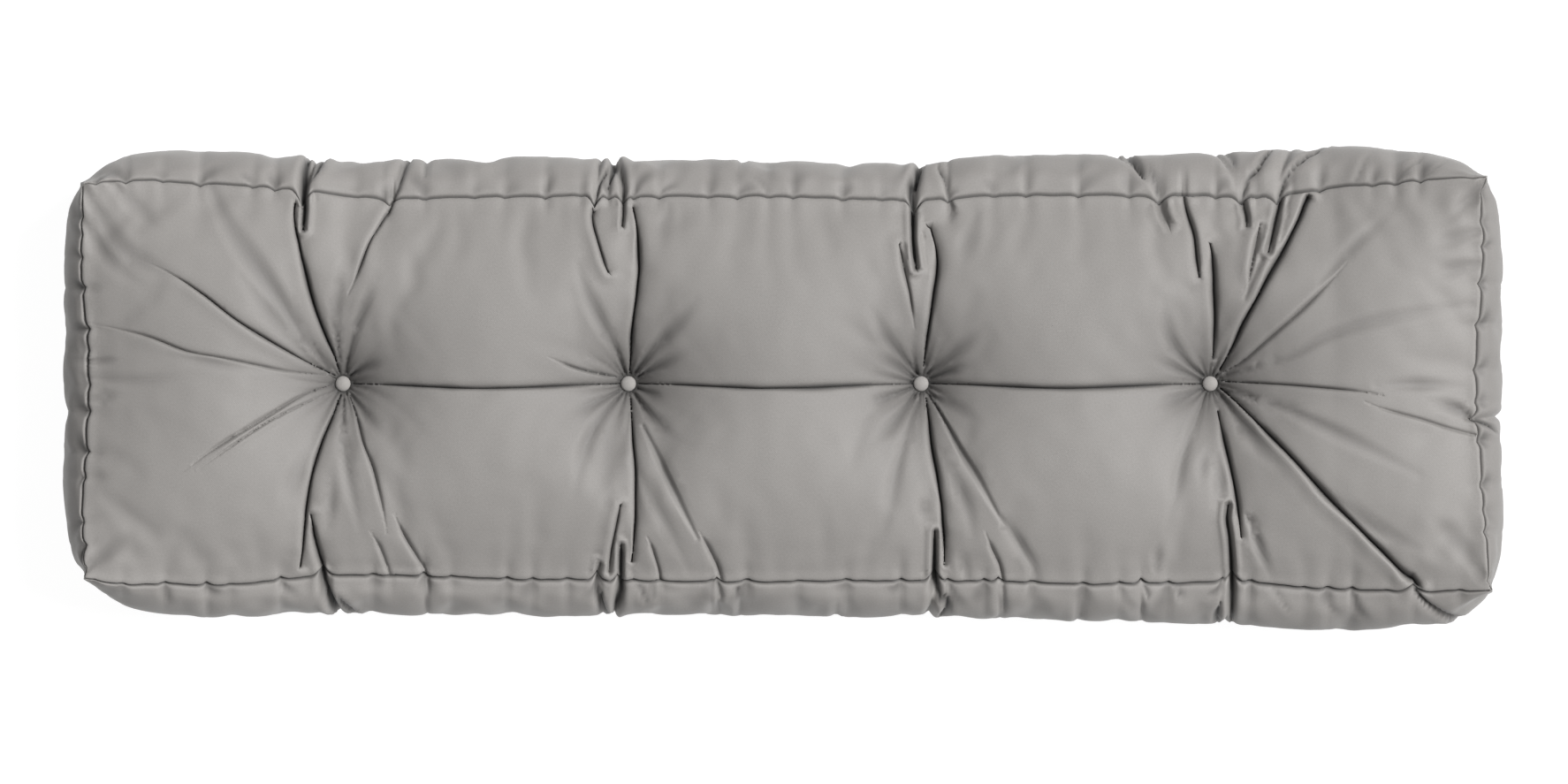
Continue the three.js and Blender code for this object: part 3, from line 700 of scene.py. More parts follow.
def pointed(row, share, from_seam):
    """The slit's width along a fold, as a share: it comes to a point at an end clear of the seam."""
    width = np.ones(len(share))
    for end, passed in ((row.path[0], share), (row.path[-1], 1 - share)):
        if from_seam(*end) > TIP_CLEAR:
            width *= mix(TIP_WIDTH, 1, ease(passed / TIP))
    return width


def roll_beside(distance, wide, half):
    """A roll of cloth beside a slit, with the faint line that lies outside it."""
    crest = (distance - wide - half * ROLL_AWAY) / half
    hem = crest - HEM_AWAY
    return np.exp(-crest * crest) - HEM_SHARE * np.exp(-2 * hem * hem)


def kept_share(row, share, taper):
    """The share of its depth that a fold keeps at shares of its path."""
    return 1 - (1 - row.start) * (1 - ease(share / taper)) - (1 - row.end) * (1 - ease((1 - share) / taper))


def uneven(row, share):
    """How a slit's width varies along its path, about 1."""
    length = sum(math.dist(a, b) for a, b in zip(row.path[:-1], row.path[1:]))
    places = np.linspace(0, 1, UNEVEN_PLACES)
    own = row.path[0][0] * 0.37
    values = [1 + UNEVEN * noise.noise((p * length / UNEVEN_LENGTH, own, UNEVEN_SEED)) for p in places]
    return np.interp(share, places, values)


def crease_shape(row, signed, share, past, from_seam):
    """Depth and roll of a crease. Past a whole end the roll goes round to the other side."""
    kept = kept_share(row, share, TAPER)
    core = row.wide * uneven(row, share) * mix(FADED_WIDTH, 1, kept) * pointed(row, share, from_seam)
    distance = np.abs(signed)
    rolled = np.where(signed < 0, 1, ease(past / (row.wide + ROUND_END)))
    t = clamp01(1 - distance / mix(row.flank, core, rolled))
    sunk = row.deep * kept * (SLIT_SHARE * slit(distance, core) + (1 - SLIT_SHARE) * (1 - np.sqrt(1 - t * t)))
    raised = row.roll * kept * rolled * roll_beside(distance, core, ROLL_HALF)
    return sunk, raised


def pocket_shape(row, signed, share, past, from_seam):
    """Depth and roll of a pocket: a slit in a soft trough, which goes on to its round end."""
    distance = np.abs(signed)
    core = POCKET_SLIT * row.wide * uneven(row, share) * pointed(row, share, from_seam)
    t = clamp01(distance / (row.wide * TROUGH_REACH))
    raised = row.roll * ease(share / POCKET_ROLL_RISE) * roll_beside(distance, row.wide, POCKET_ROLL_HALF)
    trough = (1 - t * t) ** TROUGH_POWER
    return row.deep * (SLIT_SHARE * slit(distance, core) + (1 - SLIT_SHARE) * trough), raised


class HollowEnd(NamedTuple):
    """How a hollow narrows: its width at an end, and the part of the path over which it widens, as shares."""

    width: float
    over: float


BUTTON_END = HollowEnd(0.28, 0.7)
OPEN_END = HollowEnd(0.5, 0.4)
END_BY_BUTTON = 26.0  # an end this close to a button runs in to it, mm


def drawn_in(row, share):
    """The width of a hollow along its path, as a share."""
    width = np.ones(len(share))
    for (x, y), passed in ((row.path[0], share), (row.path[-1], 1 - share)):
        gap = min(math.hypot(x - b.x, y - b.y) for b in BUTTONS)
        end = BUTTON_END if gap < END_BY_BUTTON else OPEN_END
        width *= mix(end.width, 1, ease(passed / end.over))
    return width


def hollow_shape(row, signed, share, past, from_seam):
    """Depth of a hollow, which has no roll."""
    t = clamp01(np.abs(signed) / (row.half * HOLLOW_REACH * drawn_in(row, share)))
    return row.deep * kept_share(row, share, HOLLOW_TAPER) * (1 - t * t) ** 2, np.zeros(len(signed))


def fold_reach(row):
    """How far a fold shapes the cloth beside its path."""
    if isinstance(row, Hollow):
        return row.half * HOLLOW_REACH
    reach = row.wide + ROLL_REACH * ROLL_HALF
    return max(row.flank, reach) if isinstance(row, Crease) else reach


FOLD_SHAPES = {Crease: crease_shape, Pocket: pocket_shape, Hollow: hollow_shape}


def from_face_seam(x, y):
    """How far a place on the face is from the nearest seam."""
    return min(float(gap) for gap in seam_distances(x, y).values())


def from_strip_seam(at, arc):
    """How far a place on a strip is from the nearest seam."""
    return min(arc, BOXING_WIDTH - arc)


def fold_field(folds, x, y, from_seam):
    """Depth of a set of folds at points, and the height of the rolls beside them."""
    sunk = np.zeros(len(x))
    raised = np.zeros(len(x))
    for row in folds:
        reach = fold_reach(row)
        xs, ys = np.array(row.path).T
        beside_x = (x > xs.min() - reach) & (x < xs.max() + reach)
        beside_y = (y > ys.min() - reach) & (y < ys.max() + reach)
        where = np.flatnonzero(beside_x & beside_y)
        if not len(where):
            continue
        deep, high = FOLD_SHAPES[type(row)](row, *nearest(row.path, x[where], y[where]), from_seam)
        sunk[where] += deep**MERGE_POWER
        keep = np.abs(high) > np.abs(raised[where])
        raised[where] = np.where(keep, high, raised[where])
    return sunk ** (1 / MERGE_POWER), raised


def mid_folds():
    """The long fold's stretches as creases, following the midline."""
    rows = []
    for mid in MID_FOLDS:
        path = [(x, float(midline(x))) for x in np.linspace(mid.last, mid.first, 9)]
        rows.append(Crease(mid.deep, wide=1.3, flank=7, roll=0.4, start=0.6, end=0.6, path=path))
    return rows


def tuft(x, y):
    """How strongly points are held down by the nearest button."""
    pulls = []
    for b in BUTTONS:
        r = np.hypot(x - b.x, y - b.y)
        out = np.maximum(r - SEAT_HALF, 0)
        steep = (1 - TUFT_BROAD_SHARE) * np.exp(-out / TUFT_REACH)
        pulls.append(steep + TUFT_BROAD_SHARE * np.exp(-out / TUFT_BROAD_REACH))
    return np.sum(np.power(pulls, MERGE_POWER), axis=0) ** (1 / MERGE_POWER)


SPOKES = 18  # fine wrinkles round each button
SPOKE_DEPTH = 3.0  # mm
SPOKE_START = 8.0  # from a button's middle to where they begin to fade, mm
SPOKE_REACH = 17.0  # mm
SPOKE_HALF = 0.08  # half width, radians
SPOKE_TURN = 0.35  # how far they bend aside, radians
SPOKE_TURN_REACH = 60  # mm
SPOKE_STRAY = 0.4  # how far they lie off even spacing, as a share of it
SPOKE_SEED = 11


def spokes(x, y):
    """Depth of the fine wrinkles that run in to the buttons, mm."""
    draw = np.random.default_rng(SPOKE_SEED)
    depth = np.zeros(len(x))
    for b in BUTTONS:
        r = np.hypot(x - b.x, y - b.y)
        angle = np.arctan2(y - b.y, x - b.x)
        for n in range(SPOKES):
            stray, wider, longer, bent = draw.uniform(-1, 1, 4)
            bend = SPOKE_TURN * bent * r / SPOKE_TURN_REACH
            off = angle - (n + SPOKE_STRAY * stray) * 2 * math.pi / SPOKES - bend
            off = np.abs((off + math.pi) % (2 * math.pi) - math.pi)
            half = SPOKE_HALF + 0.03 * wider
            reach = SPOKE_REACH * (1.2 + 0.8 * longer)
            fade = np.exp(-((off / half) ** 2) - np.maximum(r - SPOKE_START, 0) / reach)
            depth += SPOKE_DEPTH * (1 + 0.5 * wider) * fade
    return depth


def puff_depth(x, y, v):
    """The broad rolls along the folds that part the face into puffs."""
    across = np.min([np.abs(x - line_x(row, v)) for row in CROSS_FOLDS], axis=0)
    endward = np.maximum(np.maximum(BUTTONS[0].x - x, x - BUTTONS[-1].x), 0)
    lengthwise = np.hypot(y - midline(x), endward)
    sums = [roll(d / PUFF_REACH) ** MERGE_POWER for d in (across, lengthwise)]
    return PUFF_DEPTH * sum(sums) ** (1 / MERGE_POWER)


class Wave(NamedTuple):
    """A smooth unevenness: its height and its length, mm, and its seed."""

    high: float
    long: float
    seed: float


SEAM_WAVES = [Wave(0.9, 16, 0.5), Wave(0.8, 47, 7.5)]
FACE_WAVES = [Wave(1.3, 70, 3.0), Wave(0.45, 20, 8.0)]
STRIP_SWELL = 1.8  # mm
STRIP_SWELL_LONG = 36  # mm


def seam_wobble(at, seed):
    """How far a seam strays from its line, mm."""
    return np.array([sum(wave.high * noise.noise((a / wave.long, seed, wave.seed)) for wave in SEAM_WAVES)
                     for a in at])


def undulation(x, y, size, seed):
    """Low, uneven swelling of the filling, -1 to 1."""
    return np.array([noise.noise((a / size, b / size, seed)) for a, b in zip(x, y)])


def face_height(x, y, v, reach):
    """Height of the filled face before its creases."""
    edge = np.minimum(reach["front"], reach["back"])
    end = np.minimum(reach["left"], reach["right"])
    rise_edge = 1 - roll(edge / CROWN_REACH)
    rise_end = 1 - roll(end / CROWN_REACH)
    crown = CROWN * rise_edge * rise_end
    full = MID_HEIGHT + seam_lift(x, y, reach) + crown - puff_depth(x, y, v) * rise_edge
    return mix(full, SEAT_HEIGHT, tuft(x, y))


DIP_ENDS = 0.5  # how far down a strip its tucks reach, as a share
DIP_FADE = 0.2  # the share of the strip over which they fade there
DIP_NARROWS = 0.6  # a tuck's width at the outline, as a share of its width at the seam


def side_dip(name, at, down):
    """How far a side is drawn in at places of its strip: down is 0 at the seam and 1 at the lower seam."""
    f = clamp01(down / DIP_ENDS)
    fade = 1 - clamp01((down - DIP_ENDS) / DIP_FADE)
    most = np.zeros(np.broadcast(at, down).shape)
    for tuck in [tuck for tuck in SIDE_TUCKS if tuck.side == name] + small_tucks(name):
        centre = mix(tuck.seam_at, tuck.out_at, f)
        half = tuck.half * mix(1, DIP_NARROWS, f)
        dip = mix(tuck.seam_dip, tuck.out_dip, f) * roll(np.abs(at - centre) / half)
        most = np.maximum(most, dip * fade)
    return most


class Puckers(NamedTuple):
    """Small gathers that a seam draws into the strip beside it, mm."""

    side: str
    first: float
    last: float
    spacing: float
    long: float
    deep: float


PUCKERS = [
    Puckers("back", -572, 578, 31, 24, 2.4),
    Puckers("front", -572, 580, 33, 24, 2.4),
    Puckers("left", -150, 162, 27, 22, 2.8),
    Puckers("right", -160, 168, 29, 22, 2.6),
]
PUCKER_SEED = 7
PUCKER_VARIES = 0.55  # how much their length and depth vary, as a share
PUCKER_STRAYS = 0.45  # how much their spacing varies, as a share
PUCKER_LEAN = 24  # mm
PUCKER_HALF = 6.5  # half width, mm
PUCKER_HALF_VARIES = 3  # mm
FADES_OUT = 0.1  # the share of its depth that a gather keeps at its far end


def pucker_folds():
    """The gathers of every strip, at its top seam and at its lower seam, by side."""
    draw = np.random.default_rng(PUCKER_SEED)
    gathers = {}
    for row in PUCKERS:
        rows = gathers.setdefault(row.side, [])
        at = row.first
        while at < row.last:
            longer, leaning, deeper, wider, further = draw.uniform(-1, 1, 5)
            long = row.long * (1 + PUCKER_VARIES * longer)
            lean = PUCKER_LEAN * leaning
            deep = row.deep * (1 + PUCKER_VARIES * deeper)
            half = PUCKER_HALF + PUCKER_HALF_VARIES * wider
            path = [(at, 0), (at + lean * 0.3, long * 0.5), (at + lean, long)]
            rows.append(Hollow(deep, half, 1.0, FADES_OUT, path))
            under = at + row.spacing / 2
            path = [(under, BOXING_WIDTH), (under - lean, BOXING_WIDTH - long)]
            rows.append(Hollow(deep, half, 1.0, FADES_OUT, path))
            at += row.spacing * (1 + PUCKER_STRAYS * further)
    return gathers


SMALL_TUCK_SHARE = 0.9  # how far a gather draws the seam in, as a share of its depth
SMALL_TUCK_HALF = 8  # mm


def small_tucks(name):
    """Where the gathers of a side's top seam draw the seam in a little."""
    tucks = []
    for row in pucker_folds()[name][::2]:
        at = row.path[0][0]
        tucks.append(SideTuck(name, at, at, SMALL_TUCK_SHARE * row.deep, 0, SMALL_TUCK_HALF))
    return tucks


class Spread(NamedTuple):
    """A value that varies: its least, and how much more it may be."""

    least: float
    more: float


SHORT_LENGTH = Spread(9, 16)  # mm
SHORT_DEPTH = Spread(0.15, 0.3)  # as a share of the gather's depth
SHORT_LEAN = 8  # mm
SHORT_HALF = 4.5  # mm


def short_folds():
    """Where a gather of the top seam reaches a little way into the face."""
    draw = np.random.default_rng(PUCKER_SEED + 1)
    rows = []
    for name, gathers in pucker_folds().items():
        side = SIDES[name]
        for gather in gathers[::2]:
            at = gather.path[0][0]
            longer, leaning, deeper = draw.uniform(0, 1, 3)
            seam = float(along(side.rows, np.array([at]), "seam")[0])
            inner = seam - side.sign * (SHORT_LENGTH.least + SHORT_LENGTH.more * longer)
            path = [(at, seam), (at + SHORT_LEAN * (leaning - 0.5), inner)]
            if not side.lengthwise:
                path = [(b, a) for a, b in path]
            deep = gather.deep * (SHORT_DEPTH.least + SHORT_DEPTH.more * deeper)
            rows.append(Hollow(deep, SHORT_HALF, 1.0, FADES_OUT, path))
    return rows


STRIP_END = 0.7  # the share of its depth that a crease of the strip keeps at its far end


def strip_folds(name, at, arc):
    """Depth of the strip's folds at places along a side and distances down the strip, and their rolls."""
    creases = [Crease(row.deep, row.wide, row.flank, row.roll, 1.0, STRIP_END, row.path)
               for row in STRIP_FOLDS if row.side == name]
    return fold_field(creases + pucker_folds()[name], at, arc, from_strip_seam)


class Relief(NamedTuple):
    """How much of the fine shape points have: the folds' share, and the seams' depth and half width, mm."""

    folds: float
    seam_depth: float
    seam_width: float


PLAIN = Relief(0.0, 0.0, 1.0)

# The cloth at its seams, mm
GROOVE_POWER = 1.3
LIP_SHARE = 0.3  # height of the lip beside a seam, as a share of the seam's depth
LIP_AWAY = 4.2
LIP_HALF = 2.4
RIM_SHARE = 0.7  # the share of a seam's profile that goes square to it each way, out and down
UPPER_RIM_SHARE = 0.6
RIM_FADE = 16.0  # how far down the strip follows the top seam's own place
PULL_REACH = 42.0  # how far into the face a tuck draws the cloth
STRAY_REACH = 12.0  # how far into the face a seam's own wandering goes
WAVES_FROM = 30.0  # the face's unevenness is whole at this distance from a seam
TOUCHING = 0.001  # distances that differ by less are the same

# The cloth by a button, mm
SEAT_MARGIN = 0.6  # the folds begin this far outside the button's level seat
SEAT_EASE = 2.6  # and are whole after this much more

# Painted shade on the cloth, where folds, seams and tufts shade it: 0 in the open, 1 deep in a fold
PAINTED_SEAM_SHADE = 1.4  # in the groove of a seam
PAINTED_SEAM_SHADE_REACH = 1.8  # mm
PAINTED_BUTTON_SHADE = 0.3  # under the edge of a button
PAINTED_BUTTON_SHADE_REACH = 6.0  # mm
PAINTED_TUFT_SHADE = 0.66  # in a tuft
FACE_FOLD_DEEP = 8.0  # a fold of the face this deep gets the whole painted shade, mm
FACE_FOLD_POWER = 1.4
STRIP_FOLD_DEEP = 6.0  # and one of the strip this deep, mm
STRIP_FOLD_POWER = 1.5
PAINTED_STRIP_SHADE = {"front": 0.0, "right": 0.18, "back": 0.03, "left": 0.18}  # painted shade that makes the end strips darker
PAINTED_STRIP_SHADE_EASE = 8.0  # below the top seam, mm

SIDE_SEED = {"front": 1.0, "right": 2.0, "back": 3.0, "left": 4.0}


def seam_profile(distance, relief):
    """Rise of the cloth square to a seam: sewn down on the line, a soft lip on either side."""
    groove = relief.seam_depth * clamp01(1 - distance / (2 * relief.seam_width)) ** GROOVE_POWER
    lip = LIP_SHARE * relief.seam_depth * np.exp(-(((distance - LIP_AWAY) / LIP_HALF) ** 2))
    return lip - groove


def painted_seam_shade(distance):
    """Painted shade in the groove of a seam."""
    return PAINTED_SEAM_SHADE * clamp01(1 - distance / PAINTED_SEAM_SHADE_REACH)


def face_points(x, y, relief):
    """Points of the face and its seams over their plan, mm, and the painted shade of each, 0 to 1."""
    v = height_share(x, y)
    reach = seam_distances(x, y)
    z = face_height(x, y, v, reach)
    folds = CREASES + POCKETS + HOLLOWS + mid_folds() + short_folds()
    sunk, raised = fold_field(folds, x, y, from_face_seam)
    from_button = np.min([np.hypot(x - b.x, y - b.y) for b in BUTTONS], axis=0)
    free = ease((from_button - SEAT_HALF - SEAT_MARGIN) / SEAT_EASE)
    closest = np.min(list(reach.values()), axis=0)
    nearest_seam = np.maximum(closest, 0)
    inside = ease(nearest_seam / WAVES_FROM)
    z = z - (sunk - raised + spokes(x, y)) * relief.folds * free
    z = z + sum(wave.high * undulation(x, y, wave.long, wave.seed) for wave in FACE_WAVES) * inside * free
    rim = seam_profile(nearest_seam, relief) * RIM_SHARE
    px, py = x.copy(), y.copy()
    for name, side in SIDES.items():
        at = place_on(side, x, y)
        pull = side_dip(name, at, np.zeros_like(x)) * roll(np.maximum(reach[name], 0) / PULL_REACH)
        stray = seam_wobble(at, SIDE_SEED[name]) * np.exp(-((reach[name] / STRAY_REACH) ** 2))
        move = (reach[name] - closest < TOUCHING) * rim - pull + stray
        if side.lengthwise:
            py = py + side.sign * move
        else:
            px = px + side.sign * move
    # Painted shade: the colour is darkened in the folds, in the seams' grooves, in the tufts and round the
    # buttons' edges, where shade falls.
    painted_fold_shade = np.maximum((sunk / FACE_FOLD_DEEP) ** FACE_FOLD_POWER * free, painted_seam_shade(nearest_seam))
    painted_button_shade = PAINTED_BUTTON_SHADE * (1 - ease((from_button - SEAT_HALF) / PAINTED_BUTTON_SHADE_REACH))
    painted_shade = clamp01(painted_fold_shade + PAINTED_TUFT_SHADE * tuft(x, y) + painted_button_shade)
    return np.stack([px, py, z + rim], axis=-1), painted_shade


BULGE_POWER = 0.85
SWELL_FREE = 12.0  # the strip's swelling is whole at this distance from its seams, mm
FOLDS_FREE = 5.0  # and its folds at this one, mm
LEAST_OUT = 0.15  # the share of the folds' depth that goes sideways where the strip lies level
PUSH_UP = 0.5  # the share of it that goes upwards there


def strip_points(name, x, y, top, arc, relief):
    """Points of one side's strip, mm, and the painted shade of each. top holds where the face's rim really
    is.
    """
    side = SIDES[name]
    at = place_on(side, x, y)
    bulge = bulge_at(side, at)
    half = chord(bulge) / 2
    bulge = np.maximum(bulge - PRESSED, 0)
    down = arc / BOXING_WIDTH
    angle = math.pi * down
    sunk, raised = strip_folds(name, at, arc)
    fade = np.exp(-((arc / RIM_FADE) ** 2))
    rim = seam_profile(BOXING_WIDTH - arc, relief)
    upper_rim = UPPER_RIM_SHARE * (seam_profile(arc, relief) - fade * seam_profile(np.zeros(1), relief))
    out = bulge * np.sin(angle) ** BULGE_POWER - side_dip(name, at, down) * (1 - fade)
    z = MID_HEIGHT + half * np.cos(angle)
    up_arc = BOXING_WIDTH - arc
    swell = STRIP_SWELL * undulation(at, arc, STRIP_SWELL_LONG, SIDE_SEED[name])
    swell = swell * ease(arc / SWELL_FREE) * ease(up_arc / SWELL_FREE)
    free = ease(arc / FOLDS_FREE) * ease(up_arc / FOLDS_FREE)
    push = swell + (raised - sunk) * relief.folds * free
    facing_out = mix(LEAST_OUT, 1, np.sin(angle))
    out = out + push * facing_out + (upper_rim + rim) * RIM_SHARE
    z = z + push * np.cos(angle) * PUSH_UP + (upper_rim - rim) * RIM_SHARE
    flat = np.zeros_like(x)
    base = np.stack([flat, side.sign * out, z] if side.lengthwise else [side.sign * out, flat, z], axis=-1)
    start = np.stack([x, y, MID_HEIGHT + half], axis=-1)
    plan = np.stack([x, y, flat], axis=-1)
    # Painted shade: the colour is darkened in the seams' grooves and the strip's folds, and over the end
    # strips.
    sewn = np.maximum(painted_seam_shade(arc), painted_seam_shade(BOXING_WIDTH - arc))
    painted_fold_shade = np.maximum((sunk / STRIP_FOLD_DEEP) ** STRIP_FOLD_POWER, sewn)
    painted_shade = clamp01(painted_fold_shade + PAINTED_STRIP_SHADE[name] * ease(arc / PAINTED_STRIP_SHADE_EASE))
    return plan + base + (top - start) * fade[:, None], painted_shade


UNDER_RIM_REACH = 14  # how far the lower seam's profile goes into the underside, mm


def under_points(x, y, relief):
    """Points of the underside, mm: flat on the floor, lifting to its seam, dimpled under the ties."""
    reach = seam_distances(x, y)
    inward = np.min(list(reach.values()), axis=0)
    edge = roll(np.maximum(inward, 0) / UNDER_EDGE_REACH)
    lift = np.maximum((MID_HEIGHT - seam_lift(x, y, reach)) * edge, 0)
    dimple = np.zeros_like(x)
    for b in BUTTONS:
        q = clamp01(np.hypot(x - b.x, y - b.y) / UNDER_DIMPLE_RADIUS)
        dimple = np.maximum(dimple, UNDER_DIMPLE_DEPTH * (1 - q * q) ** 2)
    rim = seam_profile(inward, relief) * (inward < UNDER_RIM_REACH)
    return np.stack([x, y, lift + dimple - np.minimum(rim * RIM_SHARE, lift)], axis=-1)


def seam_loop():
    """The seam in plan, anticlockwise from the front left corner: the side of each point, and the points."""
    names, places = [], []
    for name, side in SIDES.items():
        fine = np.linspace(side.rows[0].at, side.rows[-1].at, EDGE_SAMPLES)
        tucks = [(row.seam_at + row.out_at) / 2 for row in SIDE_TUCKS if row.side == name]
        crowding = np.zeros_like(fine)
        for place in tucks:
            crowding += np.exp(-(((fine - place) / TUCK_CROWDING_REACH) ** 2))
        passed = np.cumsum((1 + TUCK_CROWDING * crowding) * (fine[1] - fine[0]))
        count = round((passed[-1] - passed[0]) / EDGE_STEP)
        at = np.interp(np.linspace(passed[0], passed[-1], count + 1), passed, fine)
        if name in ("back", "left"):
            at = at[::-1]
        places.append(at[:-1])
        names += [name] * count
    names = np.array(names)
    at = np.concatenate(places)
    points = np.zeros((len(at), 2))
    for name, side in SIDES.items():
        mine = names == name
        seam = along(side.rows, at[mine], "seam")
        points[mine] = np.stack([at[mine], seam] if side.lengthwise else [seam, at[mine]], axis=-1)
    return names, points


def beside(curve, offset):
    """The curve moved sideways."""
    ahead = np.gradient(curve, axis=0)
    ahead /= np.hypot(*ahead.T)[:, None]
    return curve + offset * np.stack([ahead[:, 1], -ahead[:, 0]], axis=-1)


def respaced(curve, step):
    """Points at even steps along a curve."""
    passed = np.concatenate([[0], np.cumsum(np.hypot(*np.diff(curve, axis=0).T))])
    stations = np.linspace(0, passed[-1], max(round(passed[-1] / step), 2) + 1)
    return np.stack([np.interp(stations, passed, curve[:, k]) for k in (0, 1)], axis=-1)


def cells(points, size):
    """One whole number for the square cell that each point lies in."""
    grid = np.floor(points / size).astype(np.int64)
    return grid[:, 0] * 100_000 + grid[:, 1]


def face_plan(loop):
    """Plan points of the face inside its seam: rows along the folds and the seams, an open field between."""
    narrow = [hollow for hollow in HOLLOWS if hollow.half < NARROW]
    folds = CREASES + POCKETS + mid_folds() + narrow
    curves = [respaced(smooth_path(fold.path), FOLD_STEP) for fold in folds]
    rows = list(curves)
    turn = np.arange(TIE_POINTS) * 2 * math.pi / TIE_POINTS
    for b in BUTTONS:
        for radius in TIE_RINGS:
            rows.append(np.stack([b.x + radius * np.cos(turn), b.y + radius * np.sin(turn)], axis=-1))
    closed = np.vstack([loop[-1:], loop, loop[:1]])
    for offset in SEAM_ROWS:
        rows.append(beside(closed, -offset)[1:-1])
    for offset in FOLD_ROWS:
        for fold, curve in zip(folds, curves):
            if offset < fold_reach(fold):
                rows.append(beside(curve, offset))
                rows.append(beside(curve, -offset))
    fine = np.vstack(rows)
    clear = np.min(list(seam_distances(*fine.T).values()), axis=0)
    fine = fine[clear > SEAM_CLEAR]
    first = np.unique(cells(fine, ROW_CELL), return_index=True)[1]
    fine = fine[np.sort(first)]
    across = np.arange(-HALF_LENGTH, HALF_LENGTH + 1, FIELD_STEP)
    up = np.arange(-HALF_WIDTH, HALF_WIDTH + 1, FIELD_STEP * math.sqrt(3) / 2)
    gx, gy = np.meshgrid(across, up)
    gx = gx + FIELD_STEP / 2 * (np.arange(len(up)) % 2)[:, None]
    field = np.stack([gx.ravel(), gy.ravel()], axis=-1)
    taken = np.concatenate(
        [cells(fine + [i * CLEAR, j * CLEAR], CLEAR) for i in (-1, 0, 1) for j in (-1, 0, 1)]
    )
    field = field[~np.isin(cells(field, CLEAR), taken)]
    clear = np.min(list(seam_distances(*field.T).values()), axis=0)
    return np.vstack([fine, field[clear > CLEAR]])


INSIDE = 1  # the triangulation keeps what lies inside the loop
SAME_PLACE = 1e-4  # mm
NO_AREA = 1e-9  # square mm


def triangulated(loop, inner):
    """Plan points and triangles inside a loop. The loop's points come first."""
    count = len(loop)
    points = [Vector(p) for p in np.vstack([loop, inner]).tolist()]
    edges = [(n, (n + 1) % count) for n in range(count)]
    cut = delaunay_2d_cdt(points, edges, [list(range(count))], INSIDE, SAME_PLACE)
    plan, _, faces, origins = cut[:4]
    plan = np.array(plan)
    order = np.full(len(plan), -1)
    for n, source in enumerate(origins):
        if source and min(source) < count:
            order[n] = min(source)
    rest = np.flatnonzero(order < 0)
    order[rest] = count + np.arange(len(rest))
    sorted_plan = np.zeros_like(plan)
    sorted_plan[order] = plan
    faces = order[np.array(faces)]
    a, b, c = (sorted_plan[faces[:, k]] for k in range(3))
    area = (b[:, 0] - a[:, 0]) * (c[:, 1] - a[:, 1]) - (b[:, 1] - a[:, 1]) * (c[:, 0] - a[:, 0])
    faces[area < 0] = faces[area < 0][:, ::-1]
    return sorted_plan, faces[np.abs(area) > NO_AREA]


def under_plan(loop):
    """Plan points of the underside inside its seam."""
    closed = np.vstack([loop[-1:], loop, loop[:1]])
    rows = [beside(closed, -offset)[1:-1][:: 1 + n] for n, offset in enumerate(UNDER_ROWS)]
    fine = np.vstack(rows)
    clear = np.min(list(seam_distances(*fine.T).values()), axis=0)
    fine = fine[clear > UNDER_CLEAR]
    fine = fine[np.sort(np.unique(cells(fine, UNDER_CELL), return_index=True)[1])]
    across = np.arange(-HALF_LENGTH, HALF_LENGTH + 1, UNDER_STEP)
    gx, gy = np.meshgrid(across, np.arange(-HALF_WIDTH, HALF_WIDTH + 1, UNDER_STEP))
    field = np.stack([gx.ravel(), gy.ravel()], axis=-1)
    clear = np.min(list(seam_distances(*field.T).values()), axis=0)
    return np.vstack([fine, field[clear > UNDER_FIELD_CLEAR]])


class PadPlan(NamedTuple):
    """The pad's mesh before it has its shape: the side of each point of the seam's loop, the loop, and the
    plans of the face and the underside."""

    names: np.ndarray
    loop: np.ndarray
    face: np.ndarray
    face_triangles: np.ndarray
    under: np.ndarray
    under_triangles: np.ndarray


def pad_plan():
    """The plan that the pad's points are raised from."""
    names, loop = seam_loop()
    return PadPlan(names, loop, *triangulated(loop, face_plan(loop)), *triangulated(loop, under_plan(loop)))


def pad_points(plan, relief):
    """The pad's vertices, mm, and the painted shade of each: the face, the strip ring by ring, the underside.
    """
    count = len(plan.loop)
    x, y = plan.loop.T
    top, painted_shade = face_points(*plan.face.T, relief)
    vertices, painted_shading = [top], [painted_shade]
    for arc in STRIP_RINGS[1:-1]:
        points = np.zeros((count, 3))
        painted_shade = np.zeros(count)
        for name in SIDES:
            mine = plan.names == name
            rim = top[:count][mine]
            arcs = np.full(mine.sum(), float(arc))
            points[mine], painted_shade[mine] = strip_points(name, x[mine], y[mine], rim, arcs, relief)
        vertices.append(points)
        painted_shading.append(painted_shade)
    vertices.append(under_points(*plan.under.T, relief))
    painted_shading.append(np.zeros(len(plan.under)))
    return np.vstack(vertices), np.concatenate(painted_shading)


def pad_faces(plan):
    """The pad's faces, and the cloth coordinate of each face corner, mm."""
    count = len(plan.loop)
    faces = plan.face_triangles.tolist()
    cloth = [plan.face[plan.face_triangles].reshape(-1, 2)]
    ring = np.arange(count)
    lower = len(plan.face) + ring
    steps = np.roll(plan.loop, -1, axis=0) - plan.loop
    travel = np.concatenate([[0], np.cumsum(np.hypot(*steps.T))])
    here, there = travel[:-1], travel[1:]
    for above, arc in zip(STRIP_RINGS[:-1], STRIP_RINGS[1:]):
        faces += np.stack([lower, np.roll(lower, -1), np.roll(ring, -1), ring], axis=-1).tolist()
        low, high = np.full(count, -float(arc)), np.full(count, -float(above))
        cloth.append(np.stack([here, low, there, low, there, high, here, high], axis=-1).reshape(-1, 2))
        ring = lower
        lower = lower + count
    triangles = plan.under_triangles[:, ::-1]
    faces += (triangles + ring[0]).tolist()
    cloth.append(plan.under[triangles].reshape(-1, 2))
    return faces, np.vstack(cloth)


